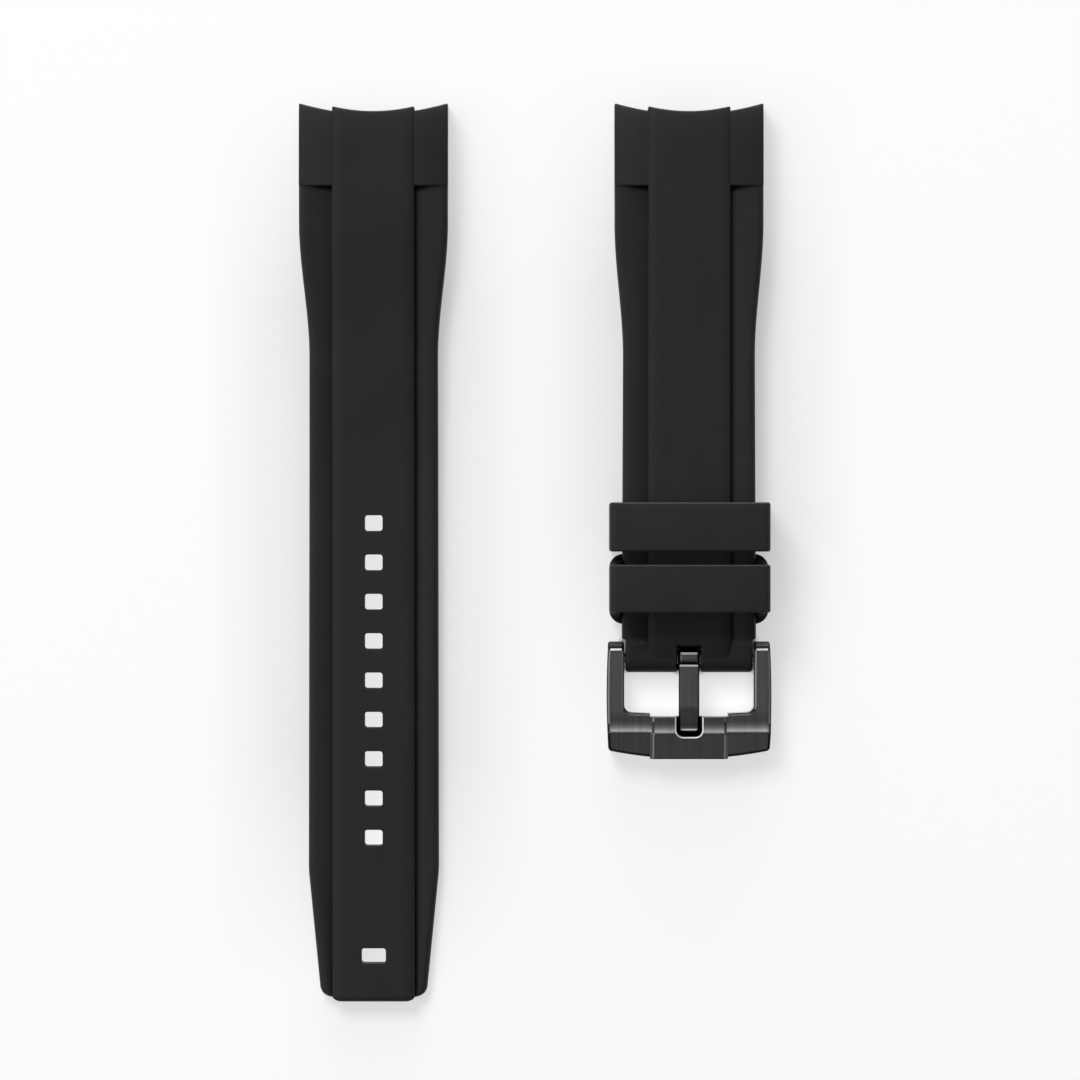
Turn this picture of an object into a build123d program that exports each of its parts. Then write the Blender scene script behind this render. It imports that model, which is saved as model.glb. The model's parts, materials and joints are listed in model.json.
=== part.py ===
from build123d import *
import math
import os

# A two-piece rubber dive strap, laid out flat as a pair. Millimetres.
# X runs across the pair, +Y towards the curved case ends, +Z up from the table.
# The origin is under the middle of the pair, on the table.

# The pair
lug_width = 20.0                  # between the case's lugs
tail_length = 120.8               # case-end corners to the tip
head_length = 76.47               # case-end corners to the rubber's buckle end
centre_distance = 42.4            # between the middle lines of the two halves

# The moulded strap section
rib_width = 11.04
rib_edge_radius = 0.35
wing_drop = 0.95                  # from the rib's top down to the wings
wing_edge_radius = 0.8
wing_dip = 0.35                   # how far a wing falls towards the rib
wing_foot_radius = 0.45
least_step = 0.05
least_share = 0.05
least_station_gap = 0.5

# The curved case end
block_length = 11.16
block_height = 6.0
block_wing_dip = 0.95             # the shoulder's fall towards its outer edge
shoulder_drop = 0.35              # from the rib's top down to the shoulders
rib_arc_radius = 23.0
shoulder_arc_radius = 33.0
shoulder_setback = 0.4            # the shoulders' front lies this far behind the rib's
case_roll_length = 5.6
case_roll_drop = 0.95
case_roll_shares = (0.35, 0.6, 0.8, 0.95)
block_ramp_length = 2.2           # where the underside steps up behind the block
lug_bar_setback = 2.7             # the bar's hole, behind the middle of the rib's arc
lug_bar_height = 2.75
lug_tube_outer_radius = 1.3
lug_tube_bore_radius = 0.95
lug_tube_recess = 0.25            # each end of the steel tube, in from the rubber's side

# The waist behind the case end
waist_start = 16.1
waist_length = 17.8
waist_shares = (0, 0.15, 0.3, 0.45, 0.6, 0.75, 0.9, 1)

# The tail half
tail_waist_play = 0.06            # each side, through the buckle
tail_hole_squeeze = 0.065         # each side, where the holes are
tail_waist_height = 4.3
tail_hole_height = 3.55
tail_tip_height = 3.0
tail_droop_length = 36.0          # the underside comes down to the table in this length
droop_shares = (0.15, 0.3, 0.45, 0.6, 0.75, 0.9, 1)
hole_count = 9
hole_pitch = 5.29
hole_width = 2.42
hole_length = 2.1
hole_corner_radius = 0.38
last_hole_setback = 22.08         # from the tip to the middle of the last hole
tip_hole_width = 3.28
tip_hole_length = 2.0
tip_hole_setback = 6.2
tip_taper_length = 17.7
tip_wing_width = 1.505            # what is left of each wing at the tip
tip_wing_radius = 1.85
tip_rib_radius = 0.75
tip_rib_overhang = 0.45

# The buckle half
head_side_step = 0.31             # each side, past the buckle's inner width
head_waist_step = 0.15            # and in the waist
head_waist_height = 5.45          # above the table, rib's top
head_keeper_height = 5.05
head_underside = 1.45             # the free keeper's lower band lies under it
nose_radius = 1.89
nose_side_clearance = 0.18        # to each of the buckle's arms
nose_neck_length = 2.45           # from the bar to where the strap gets its full width
nose_ramp_length = 1.6
nose_ramp_rise = 0.55
nose_ramp_shares = (1, 0.6, 0.3)
nose_neck_shares = (0, 0.35, 0.7, 1)
slot_width = 3.2
slot_depth = 1.66                 # from the bar towards the case end
slot_lip = 0.45                   # the bevel over the slot's closed end

# The fixed keeper, moulded with the buckle half
keeper_wall = 1.575
keeper_gap = 4.4                  # free height above the rib
keeper_top_thickness = 1.35
fixed_bar_length = 6.38
fixed_base_length = 9.67
fixed_base_corner = 1.8
fixed_base_height = 1.5
fixed_base_distance = 4.48        # from the bar to the base's nearer edge
fixed_bar_offset = 0.1            # the top bar's middle, from the base's middle
fixed_side_gap = 0.13             # each side of the strap
fixed_flare_share = 0.6
keeper_outer_radius = 0.9
keeper_inner_radius = 0.5
keeper_rim_radius = 0.35

# The free keeper
free_length = 6.58
free_band_thickness = 1.3
free_band_clearance = 0.15        # under the strap
free_rest_gap = 0.2               # to the fixed keeper's base
free_side_clearance = 0.3

# The spring bar, a tube with a sprung pin at each end
bar_height = 2.6
bar_tube_radius = 0.75
bar_tube_bore_radius = 0.55
bar_lip_thickness = 0.3
bar_lip_clearance = 0.05
bar_tunnel_clearance = 0.1
pin_body_clearance = 0.04
pin_body_length = 1.5
pin_neck_radius = 0.33
pin_collar_radius = 0.72
pin_collar_thickness = 0.3
pin_collar_gap = 0.05             # between the collar and the buckle's arm
pin_travel_room = 1.41            # between the collar and the tube's end
pin_tip_radius = 0.45
pin_tip_length = 1.25
pin_end_gap = 0.02
spring_wall = 0.16
spring_clearance = 0.05

# The buckle frame
frame_inner_width = 17.42
frame_end_arm = 2.14              # an arm's width at its end
frame_waist_arm = 2.33            # and where the frame is widest
frame_base_arm = 2.12             # and at the outer corners
frame_arm_half_height = 1.9
frame_end_radius = 2.25
frame_waist_distance = 7.2        # from the bar to where the frame is widest
frame_inner_distance = 7.2        # from the bar to the crossbar, at the arms
frame_inner_sag = 0.3             # and this much more in the middle
frame_outer_distance = 12.38      # from the bar to the outer edge, at the corners
frame_outer_sag = 1.12
frame_inner_radius = 1.0
frame_outer_radius = 0.55
crest_distance = 9.82
crest_height = 5.6
ramp_distance = 6.4
frame_toe_height = 3.55
frame_toe_radius = 0.5
frame_foot_distance = 4.0
frame_foot_end = 7.4
plate_width = 9.6                 # the crossbar's raised middle, on top
plate_side_run = 0.45             # each slanting side of it, across the bar
plate_rise = 0.25
plate_inner_distance = 7.82       # from the bar to the plate's inner edge
plate_outer_distance = 13.54
notch_width = 3.5
notch_distance = 10.52            # from the bar to the notch's round end
notch_corner_radius = 0.75
pivot_clearance = 0.05
pivot_end_gap = 0.2

# The tongue
tongue_width = 2.77
tongue_barrel_width = 3.0
tongue_barrel_radius = 1.25
tongue_bore_clearance = 0.05
tongue_start = 0.88               # from the bar to where the blade stands up
tongue_rise = 1.75                # from the bar's middle up to the blade's top
tongue_flat_length = 6.3
tongue_length = 9.82
tongue_tip_drop = 0.85
tongue_thickness = 1.4
tongue_heel_depth = 1.1           # from the bar's middle down to the blade's heel
tongue_tip_radius = 0.35
tongue_bevel = 0.2
notch_floor_gap = 0.04

# Every cut runs past its body by this much
overrun = 1.0

# Worked out from the sizes above
half_lug = lug_width / 2
half_rib = rib_width / 2
lug_line = tail_length / 2
frame_half = frame_inner_width / 2 + frame_waist_arm
pair_width = half_lug + centre_distance + frame_half
tail_x = -pair_width / 2 + half_lug
head_x = pair_width / 2 - frame_half
shoulder_sagitta = shoulder_arc_radius - math.sqrt(shoulder_arc_radius**2 - half_lug**2)
shoulder_mid_y = lug_line - shoulder_sagitta
rib_mid_y = shoulder_mid_y + shoulder_setback
block_end_y = lug_line - block_length
lug_bar_y = rib_mid_y - lug_bar_setback
bar_distance = head_length - nose_radius
bar_y = lug_line - bar_distance
fixed_base_y = bar_y + fixed_base_distance
fixed_top_y = fixed_base_y + fixed_base_length
free_y = fixed_top_y + free_rest_gap
keeper_inner_top = head_keeper_height + keeper_gap
keeper_top = keeper_inner_top + keeper_top_thickness
free_underside = head_underside - free_band_clearance - free_band_thickness
waist_end = waist_start + waist_length
tail_waist_width = frame_inner_width - tail_waist_play * 2
tail_hole_width = frame_inner_width + tail_hole_squeeze * 2
tip_width = rib_width + tip_wing_width * 2
head_waist_width = frame_inner_width + head_waist_step * 2
head_keeper_width = frame_inner_width + head_side_step * 2
fixed_inner_width = head_keeper_width + fixed_side_gap * 2
keeper_width = fixed_inner_width + keeper_wall * 2
nose_width = frame_inner_width - nose_side_clearance * 2
collar_start = frame_inner_width / 2 - pin_collar_gap - pin_collar_thickness
bar_tube_length = (collar_start - pin_travel_room) * 2


def ease(start, end, share):
    """A smooth change from start to end, level at both."""
    share = min(max(share, 0), 1)
    return start + (end - start) * share * share * (3 - 2 * share)


def case_roll(y):
    """How far the top falls towards the case end, as a quarter of an ellipse."""
    share = (y - (lug_line - case_roll_length)) / case_roll_length
    share = min(max(share, 0), 1)
    return case_roll_drop * (1 - math.sqrt(1 - share * share * (1 - least_share)))


def quarter_arc(start, end, centre):
    """A quarter circle from start to end, round its centre."""
    radius = (start - centre).length
    middle = centre + ((start + end) / 2 - centre).normalized() * radius
    return ThreePointArc(start, middle, end)


def closed_section(right_side, middle_x):
    """A face from one open right-hand chain of edges and its mirror image."""
    left_side = [edge.mirror(Plane.YZ) for edge in right_side]
    moved = [edge.moved(Location((middle_x, 0, 0))) for edge in right_side + left_side]
    return Face(Wire(moved))


def wing_side(y, half_width, underside, wing_top, inner_end):
    """The foot, side, rolled edge and top of one wing, up to inner_end."""
    foot = wing_foot_radius
    edge = wing_edge_radius
    foot_start = Vector(half_width - foot, y, underside)
    foot_end = Vector(half_width, y, underside + foot)
    edge_start = Vector(half_width, y, wing_top - edge)
    edge_end = Vector(half_width - edge, y, wing_top)
    return [
        Line(Vector(0, y, underside), foot_start),
        quarter_arc(foot_start, foot_end, Vector(half_width - foot, y, underside + foot)),
        Line(foot_end, edge_start),
        quarter_arc(edge_start, edge_end, Vector(half_width - edge, y, wing_top - edge)),
        TangentArc(edge_end, inner_end, tangent=(-1, 0, 0)),
    ]


def strap_section(y, middle_x, half_width, underside, wing_top, rib_top, dip):
    """The whole strap's section: two wings and the raised rib between them."""
    valley = Vector(half_rib, y, wing_top - dip)
    radius = min(rib_edge_radius, (rib_top - wing_top + dip) / 2)
    wall_end = Vector(half_rib, y, rib_top - radius)
    top_end = Vector(half_rib - radius, y, rib_top)
    right_side = wing_side(y, half_width, underside, wing_top, valley) + [
        Line(valley, wall_end),
        quarter_arc(wall_end, top_end, Vector(half_rib - radius, y, rib_top - radius)),
        Line(top_end, Vector(0, y, rib_top)),
    ]
    return closed_section(right_side, middle_x)


def shoulder_section(y, middle_x, underside, top):
    """The case-end block's section without its rib, crowned towards the middle."""
    foot = wing_foot_radius
    foot_start = Vector(half_lug - foot, y, underside)
    foot_end = Vector(half_lug, y, underside + foot)
    side_end = Vector(half_lug, y, top - block_wing_dip)
    crown_start = Vector(half_rib, y, top)
    right_side = [
        Line(Vector(0, y, underside), foot_start),
        quarter_arc(foot_start, foot_end, Vector(half_lug - foot, y, underside + foot)),
        Line(foot_end, side_end),
        TangentArc(crown_start, side_end, tangent=(1, 0, 0)),
        Line(crown_start, Vector(0, y, top)),
    ]
    return closed_section(right_side, middle_x)


def rib_section(y, middle_x, underside, top):
    """The rib's section on the case-end block."""
    radius = rib_edge_radius
    wall_end = Vector(half_rib, y, top - radius)
    top_end = Vector(half_rib - radius, y, top)
    right_side = [
        Line(Vector(0, y, underside), Vector(half_rib, y, underside)),
        Line(Vector(half_rib, y, underside), wall_end),
        quarter_arc(wall_end, top_end, Vector(half_rib - radius, y, top - radius)),
        Line(top_end, Vector(0, y, top)),
    ]
    return closed_section(right_side, middle_x)


def straight_loft(sections):
    """One solid through the sections, straight from each to the next."""
    return loft(sections, ruled=True)


def upright_cylinder(x, y, radius, height):
    """A cylinder that stands past the table and past height."""
    length = height + overrun * 2
    return Pos(x, y, height / 2) * Cylinder(radius, length)


def cross_cylinder(x, y, z, radius, length):
    """A cylinder along X with its middle at a point."""
    return Pos(x, y, z) * Rot(0, 90, 0) * Cylinder(radius, length)


def case_end(middle_x):
    """The block between the lugs: shoulders, rib and the two concave fronts."""
    roll_start = lug_line - case_roll_length
    stations = [block_end_y, roll_start]
    stations += [roll_start + case_roll_length * share for share in case_roll_shares]
    stations += [lug_line + overrun]
    shoulder_top = block_height - shoulder_drop
    shoulders = straight_loft(
        [shoulder_section(y, middle_x, 0, shoulder_top - case_roll(y)) for y in stations]
    )
    rib = straight_loft(
        [rib_section(y, middle_x, 0, block_height - case_roll(y)) for y in stations]
    )
    shoulder_cut = upright_cylinder(
        middle_x, shoulder_mid_y + shoulder_arc_radius, shoulder_arc_radius, block_height
    )
    rib_cut = upright_cylinder(
        middle_x, rib_mid_y + rib_arc_radius, rib_arc_radius, block_height
    )
    tunnel = cross_cylinder(
        middle_x, lug_bar_y, lug_bar_height, lug_tube_outer_radius, lug_width + overrun
    )
    return (shoulders - shoulder_cut) + (rib - rib_cut) - tunnel


def lug_tube(middle_x):
    """The steel tube that lines a case end's spring-bar hole."""
    length = lug_width - lug_tube_recess * 2
    outside = cross_cylinder(
        middle_x, lug_bar_y, lug_bar_height, lug_tube_outer_radius, length
    )
    bore = cross_cylinder(
        middle_x, lug_bar_y, lug_bar_height, lug_tube_bore_radius, length + overrun
    )
    return outside - bore


def waist_half_width(distance, narrow_width):
    """The half width through the waist, at a distance from the case-end corners."""
    share = (distance - waist_start) / waist_length
    return ease(half_lug, narrow_width / 2, share)


def tail_half_width(distance):
    """The tail half's half width."""
    if distance < waist_end:
        return waist_half_width(distance, tail_waist_width)
    taper_start = tail_length - tip_taper_length
    if distance < taper_start:
        share = (distance - waist_end) / (taper_start - waist_end)
        return (tail_waist_width + (tail_hole_width - tail_waist_width) * share) / 2
    share = (distance - taper_start) / tip_taper_length
    return (tail_hole_width + (tip_width - tail_hole_width) * share) / 2


def tail_underside(distance):
    """The tail half's underside: up behind the block, then down to the table."""
    if distance < block_length + block_ramp_length:
        return ease(0, head_underside, (distance - block_length) / block_ramp_length)
    past_ramp = distance - block_length - block_ramp_length
    return ease(head_underside, 0, past_ramp / tail_droop_length)


def tail_rib_top(distance):
    """The height of the tail half's rib."""
    droop_end = block_length + block_ramp_length + tail_droop_length
    if distance < waist_end:
        share = (distance - block_length) / (waist_end - block_length)
        return ease(block_height, tail_waist_height, share)
    if distance < droop_end:
        share = (distance - waist_end) / (droop_end - waist_end)
        return ease(tail_waist_height, tail_hole_height, share)
    share = (distance - droop_end) / (tail_length - droop_end)
    return tail_hole_height + (tail_tip_height - tail_hole_height) * share


def tail_stations():
    """Distances from the case-end corners at which the tail half has a section."""
    droop_start = block_length + block_ramp_length
    stations = {block_length, block_length + block_ramp_length / 2, droop_start}
    stations |= {waist_start + waist_length * share for share in waist_shares}
    stations |= {droop_start + tail_droop_length * share for share in droop_shares}
    stations |= {tail_length - tip_taper_length, tail_length}
    return sorted(stations)


def spread(stations, least_gap):
    """The stations without any that lies too close behind the one before."""
    kept = [stations[0]]
    for station in stations[1:]:
        if station - kept[-1] > least_gap:
            kept.append(station)
    return kept


def rounded_hole(x, y, width, length):
    """A cutter for one square hole with rounded corners."""
    outline = RectangleRounded(width, length, hole_corner_radius)
    return Pos(x, y, -overrun) * extrude(outline, block_height + overrun * 2)


def tip_outline(width, end_y, corner_radius):
    """A cutter's plan: the strip of the strap that ends at the tip."""
    length = tail_length - block_length + overrun
    strip = Pos(tail_x, end_y + length / 2) * RectangleRounded(width, length, corner_radius)
    return extrude(strip, block_height + overrun)


def tail_strap():
    """The long half with the holes, moulded in one with its case end."""
    sections = []
    for distance in spread(tail_stations(), least_station_gap):
        rib_top = tail_rib_top(distance)
        sections.append(
            strap_section(
                lug_line - distance,
                tail_x,
                tail_half_width(distance),
                tail_underside(distance),
                rib_top - wing_drop,
                rib_top,
                wing_dip,
            )
        )
    band = straight_loft(sections)
    wing_plan = tip_outline(
        tail_hole_width + overrun * 2, -lug_line + tip_rib_overhang, least_step
    )
    corners_plan = tip_outline(tip_width, -lug_line + tip_rib_overhang, tip_wing_radius)
    rib_plan = tip_outline(rib_width, -lug_line, tip_rib_radius)
    tip_y = -lug_line + tip_wing_radius * 2
    above_tip = Pos(tail_x, tip_y + tail_length / 2, 0) * Box(
        lug_width * 2, tail_length, block_height * 4
    )
    band = band & (above_tip + (wing_plan & corners_plan) + rib_plan)
    strap = band + case_end(tail_x)
    for number in range(hole_count):
        y = last_hole_setback - lug_line + hole_pitch * number
        strap -= rounded_hole(tail_x, y, hole_width, hole_length)
    tip_hole_y = tip_hole_setback - lug_line
    return strap - rounded_hole(tail_x, tip_hole_y, tip_hole_width, tip_hole_length)


def head_half_width(distance):
    """The buckle half's half width."""
    if distance < waist_end:
        return waist_half_width(distance, head_waist_width)
    neck = bar_distance - nose_neck_length
    if distance > neck:
        return nose_width / 2
    share = (distance - waist_end) / (neck - waist_end)
    return (head_waist_width + (head_keeper_width - head_waist_width) * share) / 2


def head_underside_height(distance):
    """The buckle half's underside, down to the nose's lowest line at the bar."""
    neck = bar_distance - nose_neck_length
    if distance < neck:
        return ease(0, head_underside, (distance - block_length) / block_ramp_length)
    share = (distance - neck) / nose_neck_length
    return ease(head_underside, bar_height - nose_radius, share)


def head_rib_top(distance):
    """The height of the buckle half's rib."""
    neck = bar_distance - nose_neck_length
    if distance < waist_end:
        share = (distance - block_length) / (waist_end - block_length)
        return ease(block_height, head_waist_height, share)
    if distance < neck:
        share = (distance - waist_end) / (neck - waist_end)
        return head_waist_height + (head_keeper_height - head_waist_height) * share
    share = (distance - neck) / nose_neck_length
    nose_top = bar_height + nose_radius
    return head_keeper_height + (nose_top - head_keeper_height) * share * share


def head_wing_share(distance):
    """How far the wings have come up to the rib: 0 along the strap, 1 at the bar."""
    neck = bar_distance - nose_neck_length
    ramp_start = neck - nose_ramp_length
    if distance < neck:
        rise = nose_ramp_rise / wing_drop
        return ease(0, rise, (distance - ramp_start) / nose_ramp_length)
    share = (distance - neck) / nose_neck_length
    return nose_ramp_rise / wing_drop + (1 - nose_ramp_rise / wing_drop) * share


def head_section(distance, half_width):
    """The buckle half's section at a distance from the case-end corners."""
    rib_top = head_rib_top(distance)
    left_down = 1 - head_wing_share(distance)
    return strap_section(
        lug_line - distance,
        head_x,
        half_width,
        head_underside_height(distance),
        rib_top - wing_drop * left_down - least_step,
        rib_top,
        wing_dip * max(left_down, least_share),
    )


def fixed_keeper():
    """The moulded loop over the buckle half: a flared base, walls and a top bar."""
    base_middle_y = fixed_base_y + fixed_base_length / 2
    plan = extrude(
        Pos(head_x, base_middle_y)
        * RectangleRounded(keeper_width, fixed_base_length, fixed_base_corner),
        keeper_top,
    )
    bar_middle_y = base_middle_y + fixed_bar_offset
    bar_low = bar_middle_y - fixed_bar_length / 2
    bar_high = bar_middle_y + fixed_bar_length / 2
    base_top = head_underside + fixed_base_height
    flare_top = base_top + (keeper_inner_top - base_top) * fixed_flare_share
    low = [
        Vector(0, fixed_base_y, head_underside),
        Vector(0, fixed_base_y, base_top),
        Vector(0, bar_low, flare_top),
        Vector(0, bar_low, keeper_top),
    ]
    high = [
        Vector(0, bar_high, keeper_top),
        Vector(0, bar_high, flare_top),
        Vector(0, fixed_top_y, base_top),
        Vector(0, fixed_top_y, head_underside),
    ]
    outline = [
        Line(low[0], low[1]),
        TangentArc(low[2], low[1], tangent=(0, 0, -1)),
        Line(low[2], low[3]),
        Line(low[3], high[0]),
        Line(high[0], high[1]),
        TangentArc(high[1], high[2], tangent=(0, 0, -1)),
        Line(high[2], high[3]),
        Line(high[3], low[0]),
    ]
    side = Face(Wire(outline)).moved(Location((head_x, 0, 0)))
    walls = extrude(side, keeper_width / 2 + overrun, dir=(1, 0, 0), both=True)
    section = Pos(head_x, 0, (keeper_top + head_underside) / 2) * Rot(90, 0, 0)
    section *= RectangleRounded(
        keeper_width, keeper_top - head_underside, keeper_outer_radius
    )
    outside = Pos(0, fixed_top_y + overrun, 0) * extrude(
        section, fixed_base_length + overrun * 2, dir=(0, -1, 0)
    )
    return plan & walls & outside


def keeper_opening(inner_width, underside, rounding):
    """A cutter for a keeper's inside, along Y past both keepers."""
    height = keeper_inner_top - underside
    section = Pos(head_x, 0, underside + height / 2) * Rot(90, 0, 0)
    section *= RectangleRounded(inner_width, height, rounding)
    return Pos(0, lug_line, 0) * extrude(section, tail_length, dir=(0, -1, 0))


def slot_bevel():
    """A cutter that bevels the top edge over the tongue slot's closed end."""
    edge_y = bar_y + slot_depth
    top = head_keeper_height
    corners = [
        Vector(head_x, edge_y - slot_lip, top - slot_lip * 2),
        Vector(head_x, edge_y + slot_lip, top),
        Vector(head_x, edge_y + slot_lip, top + overrun),
        Vector(head_x, edge_y - slot_lip, top + overrun),
    ]
    side = Face(Wire(Polyline(corners, close=True)))
    return extrude(side, slot_width / 2, dir=(1, 0, 0), both=True)


def buckle_strap():
    """The short half: case end, fixed keeper and the nose round the spring bar."""
    neck = bar_distance - nose_neck_length
    stations = {block_length, block_length + block_ramp_length / 2}
    stations |= {block_length + block_ramp_length}
    stations |= {waist_start + waist_length * share for share in waist_shares}
    stations |= {neck - nose_ramp_length * share for share in nose_ramp_shares}
    ordered = spread(sorted(stations), least_station_gap)
    sections = [head_section(d, head_half_width(d)) for d in ordered]
    sections.append(head_section(neck, head_keeper_width / 2))
    band = straight_loft(sections)
    neck_stations = [neck + nose_neck_length * share for share in nose_neck_shares]
    nose_band = straight_loft([head_section(d, nose_width / 2) for d in neck_stations])
    nose = cross_cylinder(head_x, bar_y, bar_height, nose_radius, nose_width)
    loop = fixed_keeper()
    loop_inside = keeper_opening(
        fixed_inner_width, head_keeper_height - wing_drop - wing_edge_radius, keeper_inner_radius
    )
    strap = (loop - loop_inside) + band
    strap = strap + nose_band + nose + case_end(head_x)
    tunnel = cross_cylinder(
        head_x,
        bar_y,
        bar_height,
        bar_tube_radius + bar_tunnel_clearance,
        nose_width + overrun * 2,
    )
    slot_start = bar_y + slot_depth
    slot_length = slot_depth + nose_radius + overrun
    slot = Pos(head_x, slot_start - slot_length / 2, bar_height) * Box(
        slot_width, slot_length, block_height * 2
    )
    return strap - tunnel - slot - slot_bevel()


def free_keeper():
    """The sliding loop that holds the tail down."""
    height = keeper_top - free_underside
    section = Pos(head_x, 0, free_underside + height / 2) * Rot(90, 0, 0)
    section *= RectangleRounded(keeper_width, height, keeper_outer_radius)
    outside = Pos(0, free_y + free_length, 0) * extrude(
        section, free_length, dir=(0, -1, 0)
    )
    rims = outside.faces().filter_by(Axis.Y).edges()
    outside = fillet(rims, keeper_rim_radius)
    inner_width = head_keeper_width + free_side_clearance * 2
    inside = keeper_opening(
        inner_width, free_underside + free_band_thickness, keeper_inner_radius
    )
    return outside - inside


def frame_side(rise, toe_distance, offset):
    """The buckle's side outline in a YZ plane, its crossbar raised by rise."""
    top = bar_height + frame_arm_half_height
    low = bar_height - frame_arm_half_height
    end_run = math.sqrt(frame_end_radius**2 - frame_arm_half_height**2)
    toe_y = bar_y - toe_distance
    points = [
        Vector(0, bar_y + end_run, low),
        Vector(0, bar_y + frame_end_radius, bar_height),
        Vector(0, bar_y + end_run, top),
        Vector(0, bar_y - ramp_distance, top),
        Vector(0, bar_y - crest_distance, crest_height + rise),
        Vector(0, toe_y, frame_toe_height + rise),
        Vector(0, toe_y, frame_toe_radius),
        Vector(0, toe_y + frame_toe_radius, 0),
        Vector(0, bar_y - frame_foot_end, 0),
        Vector(0, bar_y - frame_foot_distance, low),
    ]
    outline = [
        ThreePointArc(points[0], points[1], points[2]),
        Line(points[2], points[3]),
        TangentArc(points[3], points[4], tangent=(0, -1, 0)),
        Line(points[4], points[5]),
        Line(points[5], points[6]),
        Line(points[6], points[7]),
        Line(points[7], points[8]),
        Line(points[8], points[9]),
        Line(points[9], points[0]),
    ]
    return Face(Wire(outline)).moved(Location((head_x + offset, 0, 0)))


def frame_plan():
    """The buckle seen from above: bowed sides, a bowed outer edge, one window."""
    end_y = bar_y + frame_end_radius
    waist_y = bar_y - frame_waist_distance
    outer_y = bar_y - frame_outer_distance
    half_end = frame_inner_width / 2 + frame_end_arm
    half_base = frame_inner_width / 2 + frame_base_arm
    outside = [
        Line((-half_end, end_y), (half_end, end_y)),
        ThreePointArc((half_end, end_y), (frame_half, waist_y), (half_base, outer_y)),
        ThreePointArc(
            (half_base, outer_y), (0, outer_y - frame_outer_sag), (-half_base, outer_y)
        ),
        ThreePointArc((-half_base, outer_y), (-frame_half, waist_y), (-half_end, end_y)),
    ]
    body = make_face(outside)
    low_corners = body.vertices().sort_by(Axis.Y)[:2]
    body = fillet(low_corners, frame_outer_radius)
    half_inner = frame_inner_width / 2
    inner_y = bar_y - frame_inner_distance
    top_y = end_y + overrun
    inside = [
        Line((-half_inner, top_y), (half_inner, top_y)),
        Line((half_inner, top_y), (half_inner, inner_y)),
        ThreePointArc(
            (half_inner, inner_y), (0, inner_y - frame_inner_sag), (-half_inner, inner_y)
        ),
        Line((-half_inner, inner_y), (-half_inner, top_y)),
    ]
    window = make_face(inside)
    inner_corners = window.vertices().sort_by(Axis.Y)[:2]
    window = fillet(inner_corners, frame_inner_radius)
    return Pos(head_x, 0) * (body - window)


def frame_notch():
    """A cutter for the round-bottomed seat of the tongue's tip."""
    length = notch_distance - frame_inner_distance + overrun
    middle_y = bar_y - notch_distance + length / 2
    plan = Pos(head_x, middle_y, notch_floor()) * RectangleRounded(
        notch_width, length, notch_corner_radius
    )
    return extrude(plan, crest_height * 2)


def raised_plate():
    """The crossbar's raised middle, with slanting sides down to the bar."""
    half_top = plate_width / 2
    half_foot = half_top + plate_side_run
    body = straight_loft(
        [
            frame_side(0, plate_outer_distance, -half_foot),
            frame_side(plate_rise, plate_outer_distance, -half_top),
            frame_side(plate_rise, plate_outer_distance, half_top),
            frame_side(0, plate_outer_distance, half_foot),
        ]
    )
    length = plate_outer_distance - plate_inner_distance
    middle_y = bar_y - plate_outer_distance + length / 2
    area = Pos(head_x, middle_y, crest_height) * Box(
        half_foot * 2, length, crest_height * 2
    )
    return body & area


def plate_relief():
    """A cutter that sets the raised plate's inner edge back from the bar's."""
    length = plate_inner_distance - frame_inner_distance + overrun
    middle_y = bar_y - plate_inner_distance + length / 2
    half_foot = plate_width / 2 + plate_side_run
    return Pos(head_x, middle_y, crest_height) * Box(
        half_foot * 2, length, crest_height * 4
    )


def tongue_tip_underside():
    """The height of the tongue's underside at its tip."""
    return bar_height + tongue_rise - tongue_tip_drop - tongue_thickness


def notch_floor():
    """The height of the notch's floor, just under the resting tongue."""
    return tongue_tip_underside() - notch_floor_gap


def buckle_frame():
    """The steel frame: two arms, a ridged crossbar and its raised middle plate."""
    plan = extrude(frame_plan(), crest_height * 2)
    side = frame_side(0, frame_outer_distance + frame_outer_sag, 0)
    body = plan & extrude(side, frame_half + overrun, dir=(1, 0, 0), both=True)
    body = body - plate_relief() + raised_plate() - frame_notch()
    arm_hole_radius = pin_tip_radius + pivot_clearance
    hole_length = frame_inner_width + (pin_tip_length + pivot_end_gap) * 2
    return body - cross_cylinder(head_x, bar_y, bar_height, arm_hole_radius, hole_length)


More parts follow.
